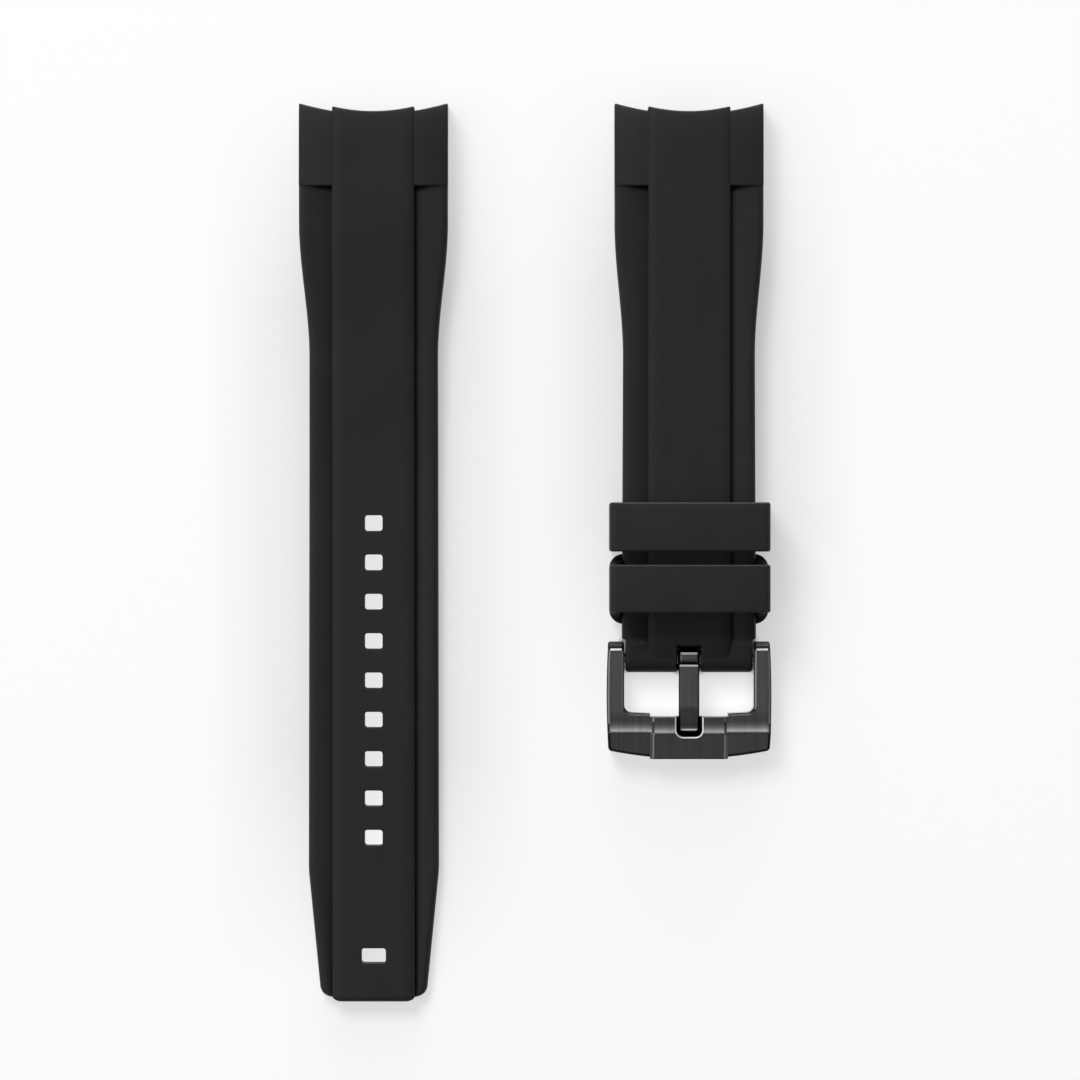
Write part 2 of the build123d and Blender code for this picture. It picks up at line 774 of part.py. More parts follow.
def buckle_tongue():
    """The pin of the buckle: a barrel round the spring bar and a stepped blade."""
    barrel = cross_cylinder(
        head_x, bar_y, bar_height, tongue_barrel_radius, tongue_barrel_width
    )
    top = bar_height + tongue_rise
    start_y = bar_y - tongue_start
    bend_y = start_y - tongue_flat_length + tongue_start
    tip_y = bar_y - tongue_length
    tip_top = top - tongue_tip_drop
    heel_z = bar_height - tongue_heel_depth
    points = [
        Vector(0, start_y, top - tongue_bevel),
        Vector(0, start_y - tongue_bevel, top),
        Vector(0, bend_y, top),
        Vector(0, tip_y + tongue_tip_radius, tip_top),
        Vector(0, tip_y, tip_top - tongue_tip_radius),
        Vector(0, tip_y, tip_top - tongue_thickness),
        Vector(0, bend_y, top - tongue_thickness),
        Vector(0, start_y - tongue_thickness, top - tongue_thickness),
        Vector(0, start_y, heel_z),
        Vector(0, bar_y, heel_z),
        Vector(0, bar_y, bar_height),
        Vector(0, start_y, bar_height),
    ]
    edges = [Line(points[0], points[1]), Line(points[1], points[2])]
    edges += [TangentArc(points[2], points[3], tangent=(0, -1, 0))]
    pairs = zip(points[3:], points[4:] + points[:1])
    edges += [Line(start, end) for start, end in pairs]
    side = Face(Wire(edges)).moved(Location((head_x, 0, 0)))
    blade = extrude(side, tongue_width / 2, dir=(1, 0, 0), both=True)
    bore_radius = bar_tube_radius + tongue_bore_clearance
    bore_length = tongue_barrel_width + overrun
    bore = cross_cylinder(head_x, bar_y, bar_height, bore_radius, bore_length)
    return barrel + blade - bore


def spring_bar_tube():
    """The spring bar's tube, its ends turned in over the pins' bodies."""
    outside = cross_cylinder(
        head_x, bar_y, bar_height, bar_tube_radius, bar_tube_length
    )
    room = cross_cylinder(
        head_x,
        bar_y,
        bar_height,
        bar_tube_bore_radius,
        bar_tube_length - bar_lip_thickness * 2,
    )
    neck_hole = cross_cylinder(
        head_x,
        bar_y,
        bar_height,
        pin_neck_radius + bar_lip_clearance,
        bar_tube_length + overrun,
    )
    return outside - room - neck_hole


def pin_inner_end():
    """Where a pin's body ends inside the tube, from the bar's middle."""
    return bar_tube_length / 2 - bar_lip_thickness - pin_end_gap - pin_body_length


def spring_bar_pin(side):
    """One sprung pin: body in the tube, neck, collar and the tip in the arm."""
    body_start = pin_inner_end()
    body_end = body_start + pin_body_length
    collar_end = collar_start + pin_collar_thickness
    tip_end = frame_inner_width / 2 + pin_tip_length
    spans = [
        (body_start, body_end, bar_tube_bore_radius - pin_body_clearance),
        (body_end, collar_start, pin_neck_radius),
        (collar_start, collar_end, pin_collar_radius),
        (collar_end, tip_end, pin_tip_radius),
    ]
    pin = None
    for start, end, radius in spans:
        middle = head_x + side * (start + end) / 2
        piece = cross_cylinder(middle, bar_y, bar_height, radius, end - start)
        pin = piece if pin is None else pin + piece
    return pin


def spring_bar_spring():
    """The coil between the pins, as the sleeve that its turns fill."""
    length = (pin_inner_end() - pin_end_gap) * 2
    radius = bar_tube_bore_radius - spring_clearance
    outside = cross_cylinder(head_x, bar_y, bar_height, radius, length)
    inside = cross_cylinder(
        head_x, bar_y, bar_height, radius - spring_wall, length + overrun
    )
    return outside - inside


def main():
    """Build every piece and write one STEP file for each."""
    os.makedirs("parts", exist_ok=True)
    pieces = {
        "tail_strap": tail_strap(),
        "tail_lug_tube": lug_tube(tail_x),
        "buckle_strap": buckle_strap(),
        "buckle_lug_tube": lug_tube(head_x),
        "free_keeper": free_keeper(),
        "buckle_frame": buckle_frame(),
        "buckle_tongue": buckle_tongue(),
        "spring_bar_tube": spring_bar_tube(),
        "spring_bar_pin_left": spring_bar_pin(-1),
        "spring_bar_pin_right": spring_bar_pin(1),
        "spring_bar_spring": spring_bar_spring(),
    }
    for name, piece in pieces.items():
        export_step(piece, f"parts/{name}.step")


main()
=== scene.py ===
"""The finished look of a two-piece rubber dive strap, laid out as a pair.

Sizes are millimetres, and a piece's mesh is scaled to metres when it is finished.
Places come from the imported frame.
"""

import json
import logging
import math
from dataclasses import dataclass, field
from enum import Enum, IntEnum
from typing import Callable

import bmesh
import bpy
from mathutils import Matrix, Vector
from mathutils.geometry import delaunay_2d_cdt

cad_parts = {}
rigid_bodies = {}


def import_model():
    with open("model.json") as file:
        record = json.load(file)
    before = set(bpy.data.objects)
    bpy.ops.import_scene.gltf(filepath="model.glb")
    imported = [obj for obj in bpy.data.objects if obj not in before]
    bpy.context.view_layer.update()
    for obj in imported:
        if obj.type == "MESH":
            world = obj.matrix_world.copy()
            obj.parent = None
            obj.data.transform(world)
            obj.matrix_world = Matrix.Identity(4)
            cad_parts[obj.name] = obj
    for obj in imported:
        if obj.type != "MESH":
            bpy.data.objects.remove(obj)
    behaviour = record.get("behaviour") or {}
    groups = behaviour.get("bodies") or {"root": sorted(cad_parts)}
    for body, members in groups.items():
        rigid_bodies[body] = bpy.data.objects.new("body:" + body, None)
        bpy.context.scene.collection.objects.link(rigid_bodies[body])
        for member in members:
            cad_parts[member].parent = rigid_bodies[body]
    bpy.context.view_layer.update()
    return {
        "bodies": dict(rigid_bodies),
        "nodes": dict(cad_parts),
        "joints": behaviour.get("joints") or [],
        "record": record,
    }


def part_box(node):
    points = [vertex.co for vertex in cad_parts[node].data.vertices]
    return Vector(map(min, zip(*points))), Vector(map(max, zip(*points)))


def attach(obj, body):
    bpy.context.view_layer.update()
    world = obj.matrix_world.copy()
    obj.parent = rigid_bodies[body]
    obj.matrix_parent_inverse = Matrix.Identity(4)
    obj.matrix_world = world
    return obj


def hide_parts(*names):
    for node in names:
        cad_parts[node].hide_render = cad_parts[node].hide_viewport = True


log = logging.getLogger("strap")
MM = 0.001
HAIR = 0.02                 # the least size that anything is drawn in to
MERGE = HAIR / 20           # points this near are one
SLIVER = HAIR / 40          # faces this thin are dropped
MEND = HAIR / 2             # points this near on an open rim are one
HOLE_SIDES = 8              # the longest open rim that is filled
BAR_STEPS = 24              # steps in half a turn round a cross bar

Piece = bpy.types.Object
Outline = list[tuple[float, float]]
Corners = list[tuple[Vector, float]]
Colour = tuple[float, float, float, float]


class Joining(Enum):
    """How one solid is worked into another."""

    UNION = "UNION"
    DIFFERENCE = "DIFFERENCE"


def clamp(value: float) -> float:
    """A value held between 0 and 1."""
    return min(max(value, 0.0), 1.0)


def ease(start: float, end: float, share: float) -> float:
    """A smooth change from start to end, level at both."""
    share = clamp(share)
    return start + (end - start) * share * share * (3 - 2 * share)


def blend(start: float, end: float, share: float) -> float:
    """A straight change from start to end."""
    return start + (end - start) * share


def quicken(start: float, end: float, share: float) -> float:
    """A change from start to end that is level at the start."""
    return start + (end - start) * share * share


def along(distance: float, *stops: tuple[float, float, Callable | None]) -> float:
    """A value that changes along the way.

    Args:
        distance: the place.
        stops: each a distance, the value there, and the kind of change on from it.

    Returns:
        The value at the place.
    """
    start, value, change = stops[0]
    for end, following, after in stops[1:]:
        if distance < end:
            return change(value, following, (distance - start) / (end - start))
        start, value, change = end, following, after
    return value


def sagitta(radius: float, run: float) -> float:
    """How far a circle has fallen away at run from its middle."""
    return radius - math.sqrt(radius**2 - run**2)


def spaced(start: float, end: float, step: float) -> list[float]:
    """Evenly spaced values from start to end, at most step apart."""
    count = max(1, math.ceil(abs(end - start) / step))
    return [blend(start, end, i / count) for i in range(count + 1)]


def quarter(steps: int) -> list[float]:
    """The angles of a quarter turn."""
    return [math.pi / 2 * i / steps for i in range(steps + 1)]


def corner_run(radius: float, steps: int) -> Outline:
    """Pairs along a rounded corner: the run that is left, and how far it has drawn in."""
    return [(radius * (1 - math.sin(a)), radius * (1 - math.cos(a))) for a in quarter(steps)]


def end_rim(y_end: float, inwards: float, radius: float, steps: int) -> Outline:
    """Pairs of y and inset round a bar's end; inwards is 1 if the bar lies towards +Y."""
    return [(y_end + inwards * left, drawn) for left, drawn in corner_run(radius, steps)]


def both_ways(run: Outline, skip: int = 0) -> Outline:
    """A chain from the middle outwards, with its mirror image before it."""
    return [(-x, z) for x, z in reversed(run[skip:])] + run


def rounded_rectangle(
    width: float, length: float, near_radius: float, far_radius: float, steps: int = 6
) -> Outline:
    """A rectangle round the origin with two radii.

    Args:
        width: its size along the first axis.
        length: its size along the second axis.
        near_radius: of the corners at the second axis's low side.
        far_radius: of the corners at its high side.
        steps: how many steps each corner has.

    Returns:
        The low side's chain from low to high, then the high side's chain back.
    """
    near = [(width / 2 - left, -length / 2 + drawn) for left, drawn in corner_run(near_radius, steps)]
    far = [(width / 2 - left, length / 2 - drawn) for left, drawn in corner_run(far_radius, steps)]
    return both_ways(near) + both_ways(far)[::-1]


def scene_object(name: str, data: bpy.types.ID) -> Piece:
    """A new object in the scene, at the origin.

    Args:
        name: the object's name.
        data: its mesh, lamp or camera.

    Returns:
        The object.
    """
    made = bpy.data.objects.new(name, data)
    bpy.context.scene.collection.objects.link(made)
    return made


def finish_mesh(name: str, work: bmesh.types.BMesh) -> Piece:
    """Turn a mesh in the making into an object.

    Args:
        name: the object's name.
        work: the mesh in the making, which is freed.

    Returns:
        The object.
    """
    mesh = bpy.data.meshes.new(name)
    work.to_mesh(mesh)
    work.free()
    return scene_object(name, mesh)


def skin(name: str, rings: list[list[Vector]], closed: bool = False) -> Piece:
    """A solid through rings of points.

    Args:
        name: the object's name.
        rings: each ring's first half pairs, back to front, with its second half, and
            the pairs span the two end faces.
        closed: whether the last ring meets the first one.

    Returns:
        The object, in millimetres, with its faces outwards.
    """
    count = len(rings[0])
    faces: list[tuple[int, ...]] = []
    for j in range(len(rings) if closed else len(rings) - 1):
        near = j * count
        far = (j + 1) % len(rings) * count
        for i in range(count):
            k = (i + 1) % count
            faces.append((near + i, near + k, far + k, far + i))
    for start in () if closed else (0, (len(rings) - 1) * count):
        for i in range(count // 2 - 1):
            opposite = start + count - 1 - i
            faces.append((start + i, start + i + 1, opposite - 1, opposite))
    mesh = bpy.data.meshes.new(name)
    mesh.from_pydata([tuple(p) for ring in rings for p in ring], [], faces)
    tidy_mesh(mesh)
    return scene_object(name, mesh)


def tidy_mesh(mesh: bpy.types.Mesh) -> None:
    """Merge doubles, drop what is loose, close small rims and turn the faces outwards.

    Args:
        mesh: the mesh, changed where it is.
    """
    work = bmesh.new()
    work.from_mesh(mesh)
    bmesh.ops.remove_doubles(work, verts=work.verts, dist=MERGE)
    bmesh.ops.dissolve_degenerate(work, edges=work.edges, dist=SLIVER)
    open_points = [vertex for vertex in work.verts if vertex.is_boundary]
    bmesh.ops.remove_doubles(work, verts=open_points, dist=MEND)
    for parts in (work.edges, work.verts):
        for lone in [part for part in parts if not part.link_faces]:
            parts.remove(lone)
    rims = [edge for edge in work.edges if edge.is_boundary]
    bmesh.ops.holes_fill(work, edges=rims, sides=HOLE_SIDES)
    bmesh.ops.recalc_face_normals(work, faces=work.faces)
    work.to_mesh(mesh)
    work.free()


def apply_modifiers(piece: Piece) -> None:
    """Turn a piece with its modifiers into a plain mesh.

    Args:
        piece: the piece, which loses its modifiers.
    """
    graph = bpy.context.evaluated_depsgraph_get()
    mesh = bpy.data.meshes.new_from_object(piece.evaluated_get(graph), depsgraph=graph)
    piece.modifiers.clear()
    piece.data = mesh


def work_in(piece: Piece, other: Piece, how: Joining) -> None:
    """Join another solid to a piece, or cut it away.

    Args:
        piece: the solid that stays.
        other: the solid that is used up.
        how: whether it is joined or cut away.
    """
    change = piece.modifiers.new(how.value.lower(), "BOOLEAN")
    change.operation = how.value
    change.solver = "EXACT"
    change.object = other
    apply_modifiers(piece)
    bpy.data.objects.remove(other)


def smooth(piece: Piece, crease_angle: float) -> None:
    """Shade a piece smooth, but for edges sharper than an angle in degrees."""
    piece.data.polygons.foreach_set("use_smooth", [True] * len(piece.data.polygons))
    piece.data.set_sharp_from_angle(angle=math.radians(crease_angle))


def dress(piece: Piece, *materials: bpy.types.Material) -> None:
    """Give a piece its materials.

    Args:
        piece: the piece, whose faces keep their numbers if there are several.
        materials: in the order of the faces' numbers.
    """
    several = len(materials) > 1
    numbers = [face.material_index if several else 0 for face in piece.data.polygons]
    piece.data.materials.clear()
    for material in materials:
        piece.data.materials.append(material)
    piece.data.polygons.foreach_set("material_index", numbers)


def settle(piece: Piece, body: str, nodes: tuple[str, ...]) -> None:
    """Scale a finished piece to metres and tie it to the frame.

    Args:
        piece: the piece, in millimetres.
        body: the body that it rides on.
        nodes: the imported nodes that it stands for.
    """
    piece.data.transform(Matrix.Scale(MM, 4))
    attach(piece, body)
    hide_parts(*nodes)
    log.info("%s: %d faces, for %s", piece.name, len(piece.data.polygons), ", ".join(nodes))


class Wire:
    """A shader socket that can stand in a sum."""

    def __init__(self, tree: "ShaderTree", socket: bpy.types.NodeSocket) -> None:
        """Keep the socket and the tree that it belongs to."""
        self.tree = tree
        self.socket = socket

    def maths(self, operation: str, first: object, second: object) -> "Wire":
        """One Math node on two values or wires."""
        node = self.tree.node("ShaderNodeMath", {"operation": operation}, {0: first, 1: second})
        return node.out(0)

    def __add__(self, other: object) -> "Wire":
        """This wire plus a value or wire."""
        return self.maths("ADD", self, other)

    def __radd__(self, other: object) -> "Wire":
        """A value plus this wire."""
        return self.maths("ADD", other, self)

    def __sub__(self, other: object) -> "Wire":
        """This wire less a value or wire."""
        return self.maths("SUBTRACT", self, other)

    def __rsub__(self, other: object) -> "Wire":
        """A value less this wire."""
        return self.maths("SUBTRACT", other, self)

    def __mul__(self, other: object) -> "Wire":
        """This wire times a value or wire."""
        return self.maths("MULTIPLY", self, other)

    def power(self, exponent: float) -> "Wire":
        """This wire to a power."""
        return self.maths("POWER", self, exponent)

    def size(self) -> "Wire":
        """This wire without its sign."""
        return self.maths("ABSOLUTE", self, 0.0)

    def held(self) -> "Wire":
        """This wire, held between 0 and 1."""
        return self.maths("MINIMUM", self.maths("MAXIMUM", self, 0.0), 1.0)


class ShaderNode:
    """A node with its outputs at hand."""

    def __init__(self, tree: "ShaderTree", node: bpy.types.Node) -> None:
        """Keep the node and its tree."""
        self.tree = tree
        self.node = node

    def out(self, key: int | str) -> Wire:
        """One of the node's outputs."""
        return Wire(self.tree, self.node.outputs[key])


class ShaderTree:
    """The nodes of one material or world."""

    def __init__(self, owner: bpy.types.ID) -> None:
        """Empty the owner's tree.

        Args:
            owner: a material or a world.
        """
        owner.use_nodes = True
        self.tree = owner.node_tree
        self.tree.nodes.clear()

    def node(self, kind: str, settings: dict, inputs: dict) -> ShaderNode:
        """Make one node.

        Args:
            kind: Blender's name for the type of node.
            settings: attributes of the node, set before anything else. A ramp's
                stops are a list of pairs of place and colour, under "stops".
            inputs: a value or a Wire for each named or numbered socket.

        Returns:
            The node.
        """
        made = self.tree.nodes.new(kind)
        for name, value in settings.items():
            if name == "stops":
                self.set_stops(made.color_ramp, value)
            else:
                setattr(made, name, value)
        for key, value in inputs.items():
            if isinstance(value, Wire):
                self.tree.links.new(value.socket, made.inputs[key])
            else:
                made.inputs[key].default_value = value
        return ShaderNode(self, made)

    @staticmethod
    def set_stops(ramp: bpy.types.ColorRamp, stops: list) -> None:
        """Give a ramp its stops.

        Args:
            ramp: a new ramp, with two stops.
            stops: pairs of place and colour.
        """
        while len(ramp.elements) < len(stops):
            ramp.elements.new(1.0)
        for element, (place, colour) in zip(ramp.elements, stops):
            element.position = place
            element.color = colour

    def place(self) -> Wire:
        """The piece's own coordinates, in metres."""
        return self.node("ShaderNodeTexCoord", {}, {}).out("Object")

    def vectors(self, operation: str, inputs: dict) -> Wire:
        """One Vector Math node."""
        return self.node("ShaderNodeVectorMath", {"operation": operation}, inputs).out(0)

    def noise(self, scale: tuple[float, float, float], detail: float) -> Wire:
        """Noise between 0 and 1, with a grain per metre along each axis."""
        inputs = {"Vector": self.vectors("MULTIPLY", {0: self.place(), 1: scale})}
        return self.node("ShaderNodeTexNoise", {}, inputs | {"Scale": 1.0, "Detail": detail}).out(0)

    def ramp(self, value: Wire, stops: list) -> Wire:
        """A value turned into a colour or a mask."""
        return self.node("ShaderNodeValToRGB", {"stops": stops}, {0: value}).out(0)

    def mix(self, share: Wire, first: object, second: object) -> Wire:
        """Two colours, mixed."""
        settings = {"data_type": "RGBA"}
        return self.node("ShaderNodeMix", settings, {0: share, 6: first, 7: second}).out(2)

    def bump(self, height: Wire, strength: float, depth: float) -> Wire:
        """A normal from a height, depth in metres."""
        inputs = {"Height": height, "Strength": strength, "Distance": depth}
        return self.node("ShaderNodeBump", {}, inputs).out(0)

    def end(self, kind: str, surface: Wire) -> None:
        """Send a shader to the output node."""
        self.node(kind, {}, {"Surface": surface})


def grey(value: float) -> Colour:
    """An even grey."""
    return (value, value, value, 1.0)


class PieceFinish:
    """What the finishes of the pieces share: a name and one principled shader."""

    def sockets(self, tree: ShaderTree) -> dict:
        """The shader's sockets, with their values and wires."""
        raise NotImplementedError

    def build(self) -> bpy.types.Material:
        """Make the finish.

        Returns:
            The material.
        """
        material = bpy.data.materials.new(self.name)
        tree = ShaderTree(material)
        surface = tree.node("ShaderNodeBsdfPrincipled", {}, self.sockets(tree))
        tree.end("ShaderNodeOutputMaterial", surface.out(0))
        return material


@dataclass(frozen=True)
class RubberFinish(PieceFinish):
    """Matt moulded black rubber with a fine satin skin."""

    name: str = "moulded_rubber"
    colour: Colour = (0.0160, 0.0160, 0.0169, 1.0)
    bloom_colour: Colour = (0.0215, 0.0215, 0.0226, 1.0)
    roughness: float = 0.50
    bloom_play: float = 0.12
    skin_play: float = 0.1
    gloss: float = 0.20
    bloom_grain: float = 260.0      # per metre
    bloom_stretch: float = 0.4
    skin_grain: float = 9000.0
    skin_bump: float = 0.35
    skin_depth: float = 0.000012

    def sockets(self, tree: ShaderTree) -> dict:
        """A soft bloom, and the skin's fine grain.

        Args:
            tree: the material's nodes.

        Returns:
            The shader's sockets.
        """
        across, along = self.bloom_grain, self.bloom_grain * self.bloom_stretch
        bloom = tree.noise((across, along, across), 3.0)
        grain = tree.noise((self.skin_grain,) * 3, 2.0)
        colour = tree.mix(bloom, self.colour, self.bloom_colour)
        play = self.roughness + (bloom - 0.5) * self.bloom_play
        return {
            "Base Color": colour,
            "Roughness": play + (grain - 0.5) * self.skin_play,
            "Specular IOR Level": self.gloss,
            "Normal": tree.bump(grain, self.skin_bump, self.skin_depth),
        }


@dataclass(frozen=True)
class BrushedFinish(PieceFinish):
    """Dark coated steel, brushed along Y."""

    name: str = "brushed_gunmetal"
    colour: Colour = (0.175, 0.174, 0.171, 1.0)
    worn_colour: Colour = (0.240, 0.238, 0.233, 1.0)
    worn_from: float = 0.32
    worn_to: float = 0.68
    roughness: float = 0.22
    roughness_play: float = 0.12
    streak_grain: float = 5600.0
    streak_length_share: float = 0.012
    broad_grain_share: float = 0.14
    broad_length_share: float = 0.3
    broad_share: float = 0.35
    wall_lean: float = 0.6            # how far a face turns to X before it is a wall
    wall_change: float = 5.0
    streak_bump: float = 0.5
    streak_depth: float = 0.000006

    def sockets(self, tree: ShaderTree) -> dict:
        """Streaks along Y on the tops and on the walls.

        Args:
            tree: the material's nodes.

        Returns:
            The shader's sockets.
        """
        along = self.streak_grain * self.streak_length_share
        normal = tree.node("ShaderNodeNewGeometry", {}, {}).out("Normal")
        sideways = tree.node("ShaderNodeSeparateXYZ", {}, {0: normal}).out(0).size()
        on_wall = ((sideways - self.wall_lean) * self.wall_change).held()
        top = tree.noise((self.streak_grain, along, along), 4.0)
        wall = tree.noise((along, along, self.streak_grain), 4.0)
        length = along * self.broad_length_share
        broad = tree.noise((self.streak_grain * self.broad_grain_share, length, length), 2.0)
        fine = top * (1.0 - on_wall) + wall * on_wall
        streak = fine * (1 - self.broad_share) + broad * self.broad_share
        band = tree.ramp(streak, [(self.worn_from, grey(0.0)), (self.worn_to, grey(1.0))])
        return {
            "Base Color": tree.mix(band, self.colour, self.worn_colour),
            "Metallic": 1.0,
            "Roughness": self.roughness + (streak - 0.5) * self.roughness_play,
            "Normal": tree.bump(streak, self.streak_bump, self.streak_depth),
        }


@dataclass(frozen=True)
class PolishedFinish(PieceFinish):
    """The bright polished bevels and lines of the buckle."""

    name: str = "polished_bevel"
    colour: Colour = (0.74, 0.735, 0.72, 1.0)
    scuffed_colour: Colour = (0.56, 0.56, 0.55, 1.0)
    metallic: float = 1.0
    roughness: float = 0.14
    scuff_play: float = 0.10
    scuff_grain: float = 2500.0

    def sockets(self, tree: ShaderTree) -> dict:
        """Fine scuffs.

        Args:
            tree: the material's nodes.

        Returns:
            The shader's sockets.
        """
        scuff = tree.noise((self.scuff_grain,) * 3, 3.0)
        return {
            "Base Color": tree.mix(scuff, self.colour, self.scuffed_colour),
            "Metallic": self.metallic,
            "Roughness": self.roughness + scuff * self.scuff_play,
        }


@dataclass(frozen=True)
class BlastedFinish(PieceFinish):
    """The fine blasted grain of the arms' ends and the deep edges."""

    name: str = "blasted_gunmetal"
    colour: Colour = (0.045, 0.045, 0.044, 1.0)
    bright_colour: Colour = (0.105, 0.105, 0.103, 1.0)
    bright_from: float = 0.4
    bright_to: float = 0.62
    roughness: float = 0.42
    roughness_play: float = 0.2
    grain: float = 7000.0
    bump: float = 0.6
    depth: float = 0.00003

    def sockets(self, tree: ShaderTree) -> dict:
        """Bright specks in a dark grain.

        Args:
            tree: the material's nodes.

        Returns:
            The shader's sockets.
        """
        grain = tree.noise((self.grain,) * 3, 3.0)
        speck = tree.ramp(grain, [(self.bright_from, grey(0.0)), (self.bright_to, grey(1.0))])
        return {
            "Base Color": tree.mix(speck, self.colour, self.bright_colour),
            "Metallic": 1.0,
            "Roughness": self.roughness + (grain - 0.5) * self.roughness_play,
            "Normal": tree.bump(grain, self.bump, self.depth),
        }


@dataclass(frozen=True)
class TurnedFinish(PieceFinish):
    """Plain steel, turned round the X axis."""

    name: str = "turned_steel"
    colour: Colour = (0.44, 0.44, 0.43, 1.0)
    ring_colour: Colour = (0.30, 0.30, 0.30, 1.0)
    roughness: float = 0.26
    roughness_play: float = 0.15
    ring_grain: float = 14000.0
    ring_length_share: float = 0.02
    ring_bump: float = 0.4
    ring_depth: float = 0.000006

    def sockets(self, tree: ShaderTree) -> dict:
        """Fine rings.

        Args:
            tree: the material's nodes.

        Returns:
            The shader's sockets.
        """
        round_x = self.ring_grain * self.ring_length_share
        rings = tree.noise((self.ring_grain, round_x, round_x), 2.0)
        return {
            "Base Color": tree.mix(rings, self.colour, self.ring_colour),
            "Metallic": 1.0,
            "Roughness": self.roughness + rings * self.roughness_play,
            "Normal": tree.bump(rings, self.ring_bump, self.ring_depth),
        }


@dataclass(frozen=True)
class PaintedFloorPatch:
    """A soft-edged box of the floor whose glow differs, in millimetres: painted shadow where it is
    lower, painted light where it is higher.
    """

    middle: tuple[float, float]
    half: tuple[float, float]
    glow: float
    softness: float = 0.8

    def mask(self, tree: ShaderTree, place: ShaderNode) -> Wire:
        """The box as a mask.

        Args:
            tree: the floor's nodes.
            place: the node whose outputs are X and Y in metres.

        Returns:
            1 inside the box and 0 outside.
        """
        share = None
        for axis in (0, 1):
            off = (place.out(axis) * (1 / MM) - self.middle[axis]).size()
            side = ((self.half[axis] - off) * (1 / self.softness) + 0.5).held()
            share = side if share is None else share * side
        return share


@dataclass(frozen=True)
class FloorFinish:
    """A plain white floor that shows pale to the eye and keeps soft shadows."""

    name: str = "white_floor"
    colour: float = 0.80
    seen_colour: float = 0.36
    seen_glow: float = 0.62
    # boxes of painted shadow or painted light on the floor
    painted_patches: tuple[PaintedFloorPatch, ...] = ()

    def build(self) -> bpy.types.Material:
        """Make the floor's material.

        Returns:
            The material: plain to the light, and with a glow where it is seen.
        """
        material = bpy.data.materials.new(self.name)
        tree = ShaderTree(material)
        rays = tree.node("ShaderNodeLightPath", {}, {})
        seen = rays.out("Is Camera Ray") + rays.out("Is Glossy Ray")
        seen = seen + rays.out("Is Transmission Ray")
        plain = tree.node("ShaderNodeBsdfDiffuse", {}, {0: grey(self.colour)}).out(0)
        matt = tree.node("ShaderNodeBsdfDiffuse", {}, {0: grey(self.seen_colour)}).out(0)
        place = tree.node("ShaderNodeSeparateXYZ", {}, {0: tree.place()})
        level = self.seen_glow
        # painted light and shade: each patch lowers or raises the floor's glow
        for patch in self.painted_patches:
            level = patch.mask(tree, place) * (patch.glow - self.seen_glow) + level
        glow = tree.node("ShaderNodeEmission", {}, {0: grey(1.0), 1: level}).out(0)
        pale = tree.node("ShaderNodeAddShader", {}, {0: matt, 1: glow}).out(0)
        whole = tree.node("ShaderNodeMixShader", {}, {0: seen, 1: plain, 2: pale}).out(0)
        tree.end("ShaderNodeOutputMaterial", whole)
        return material


@dataclass
class Places:
    """Where the frame puts things, in millimetres."""

    tail_x: float
    head_x: float
    lug_line: float
    tip_y: float
    bar: Vector

    @staticmethod
    def box(node: str) -> tuple[Vector, Vector]:
        """A node's lowest and highest corners."""
        low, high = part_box(node)
        return Vector(low) / MM, Vector(high) / MM

    @classmethod
    def read(cls) -> "Places":
        """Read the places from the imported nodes.

        Returns:
            The places.
        """
        tail_low, tail_high = cls.box("tail_strap")
        head_low, head_high = cls.box("buckle_strap")
        bar_low, bar_high = cls.box("spring_bar_tube")
        tail_x = (tail_low.x + tail_high.x) / 2
        head_x = (head_low.x + head_high.x) / 2
        return cls(tail_x, head_x, tail_high.y, tail_low.y, (bar_low + bar_high) / 2)

    def painted_floor_patches(self) -> tuple[PaintedFloorPatch, ...]:
        """Where the floor glows more or less, for the photograph's view.

        Returns:
            Painted shadows in the slits by the nose and under its slot, a soft painted shade round
            each half, and painted light on the floor under the holes, the tip's hole and the buckle's
            window.
        """
        # three boxes of painted shadow in the slits, two of painted shade round the halves, three of
        # painted light
        beside_nose, slit_y = 8.72, self.bar.y + 0.4
        painted_slit_shadows = [((self.head_x + x, slit_y), (0.35, 2.3)) for x in (-beside_nose, beside_nose)]
        painted_slit_shadows += [((self.head_x, self.bar.y + 0.2), (1.9, 2.2))]
        return tuple(PaintedFloorPatch(middle, half, 0.0) for middle, half in painted_slit_shadows) + (
            PaintedFloorPatch((self.tail_x, 3.0), (8.0, 46.0), 0.26, 30.0),
            PaintedFloorPatch((self.head_x, 21.0), (8.0, 30.0), 0.26, 30.0),
            PaintedFloorPatch((self.tail_x, self.tip_y + 43.2), (2.4, 24.0), 1.04),
            PaintedFloorPatch((self.tail_x, self.tip_y + 6.2), (2.4, 2.0), 0.76),
            PaintedFloorPatch((self.head_x, self.bar.y - 4.8), (8.3, 2.6), 0.78, 2.0),
        )


class Finishes:
    """Every material of the scene, made once."""

    def __init__(self, places: Places) -> None:
        """Build the materials.

        Args:
            places: where the floor's glow differs.
        """
        self.rubber = RubberFinish().build()
        self.brushed = BrushedFinish().build()
        self.polished = PolishedFinish().build()
        self.blasted = BlastedFinish().build()
        # a near-black rubber painted where there is only shade: on the fixed keeper's flares, and as
        # the buckle's dark finish
        painted_shade = RubberFinish("painted_shade_rubber", grey(0.006), grey(0.011), roughness=0.6, gloss=0.05)
        self.painted_shade = painted_shade.build()
        # a near-white, half-metallic finish painted on the buckle's bevel lines as their highlight
        painted_highlight = PolishedFinish("painted_highlight_line", grey(0.92), grey(0.80), metallic=0.35, roughness=0.3)
        self.painted_highlight = painted_highlight.build()
        self.turned = TurnedFinish().build()
        self.floor = FloorFinish(painted_patches=places.painted_floor_patches()).build()


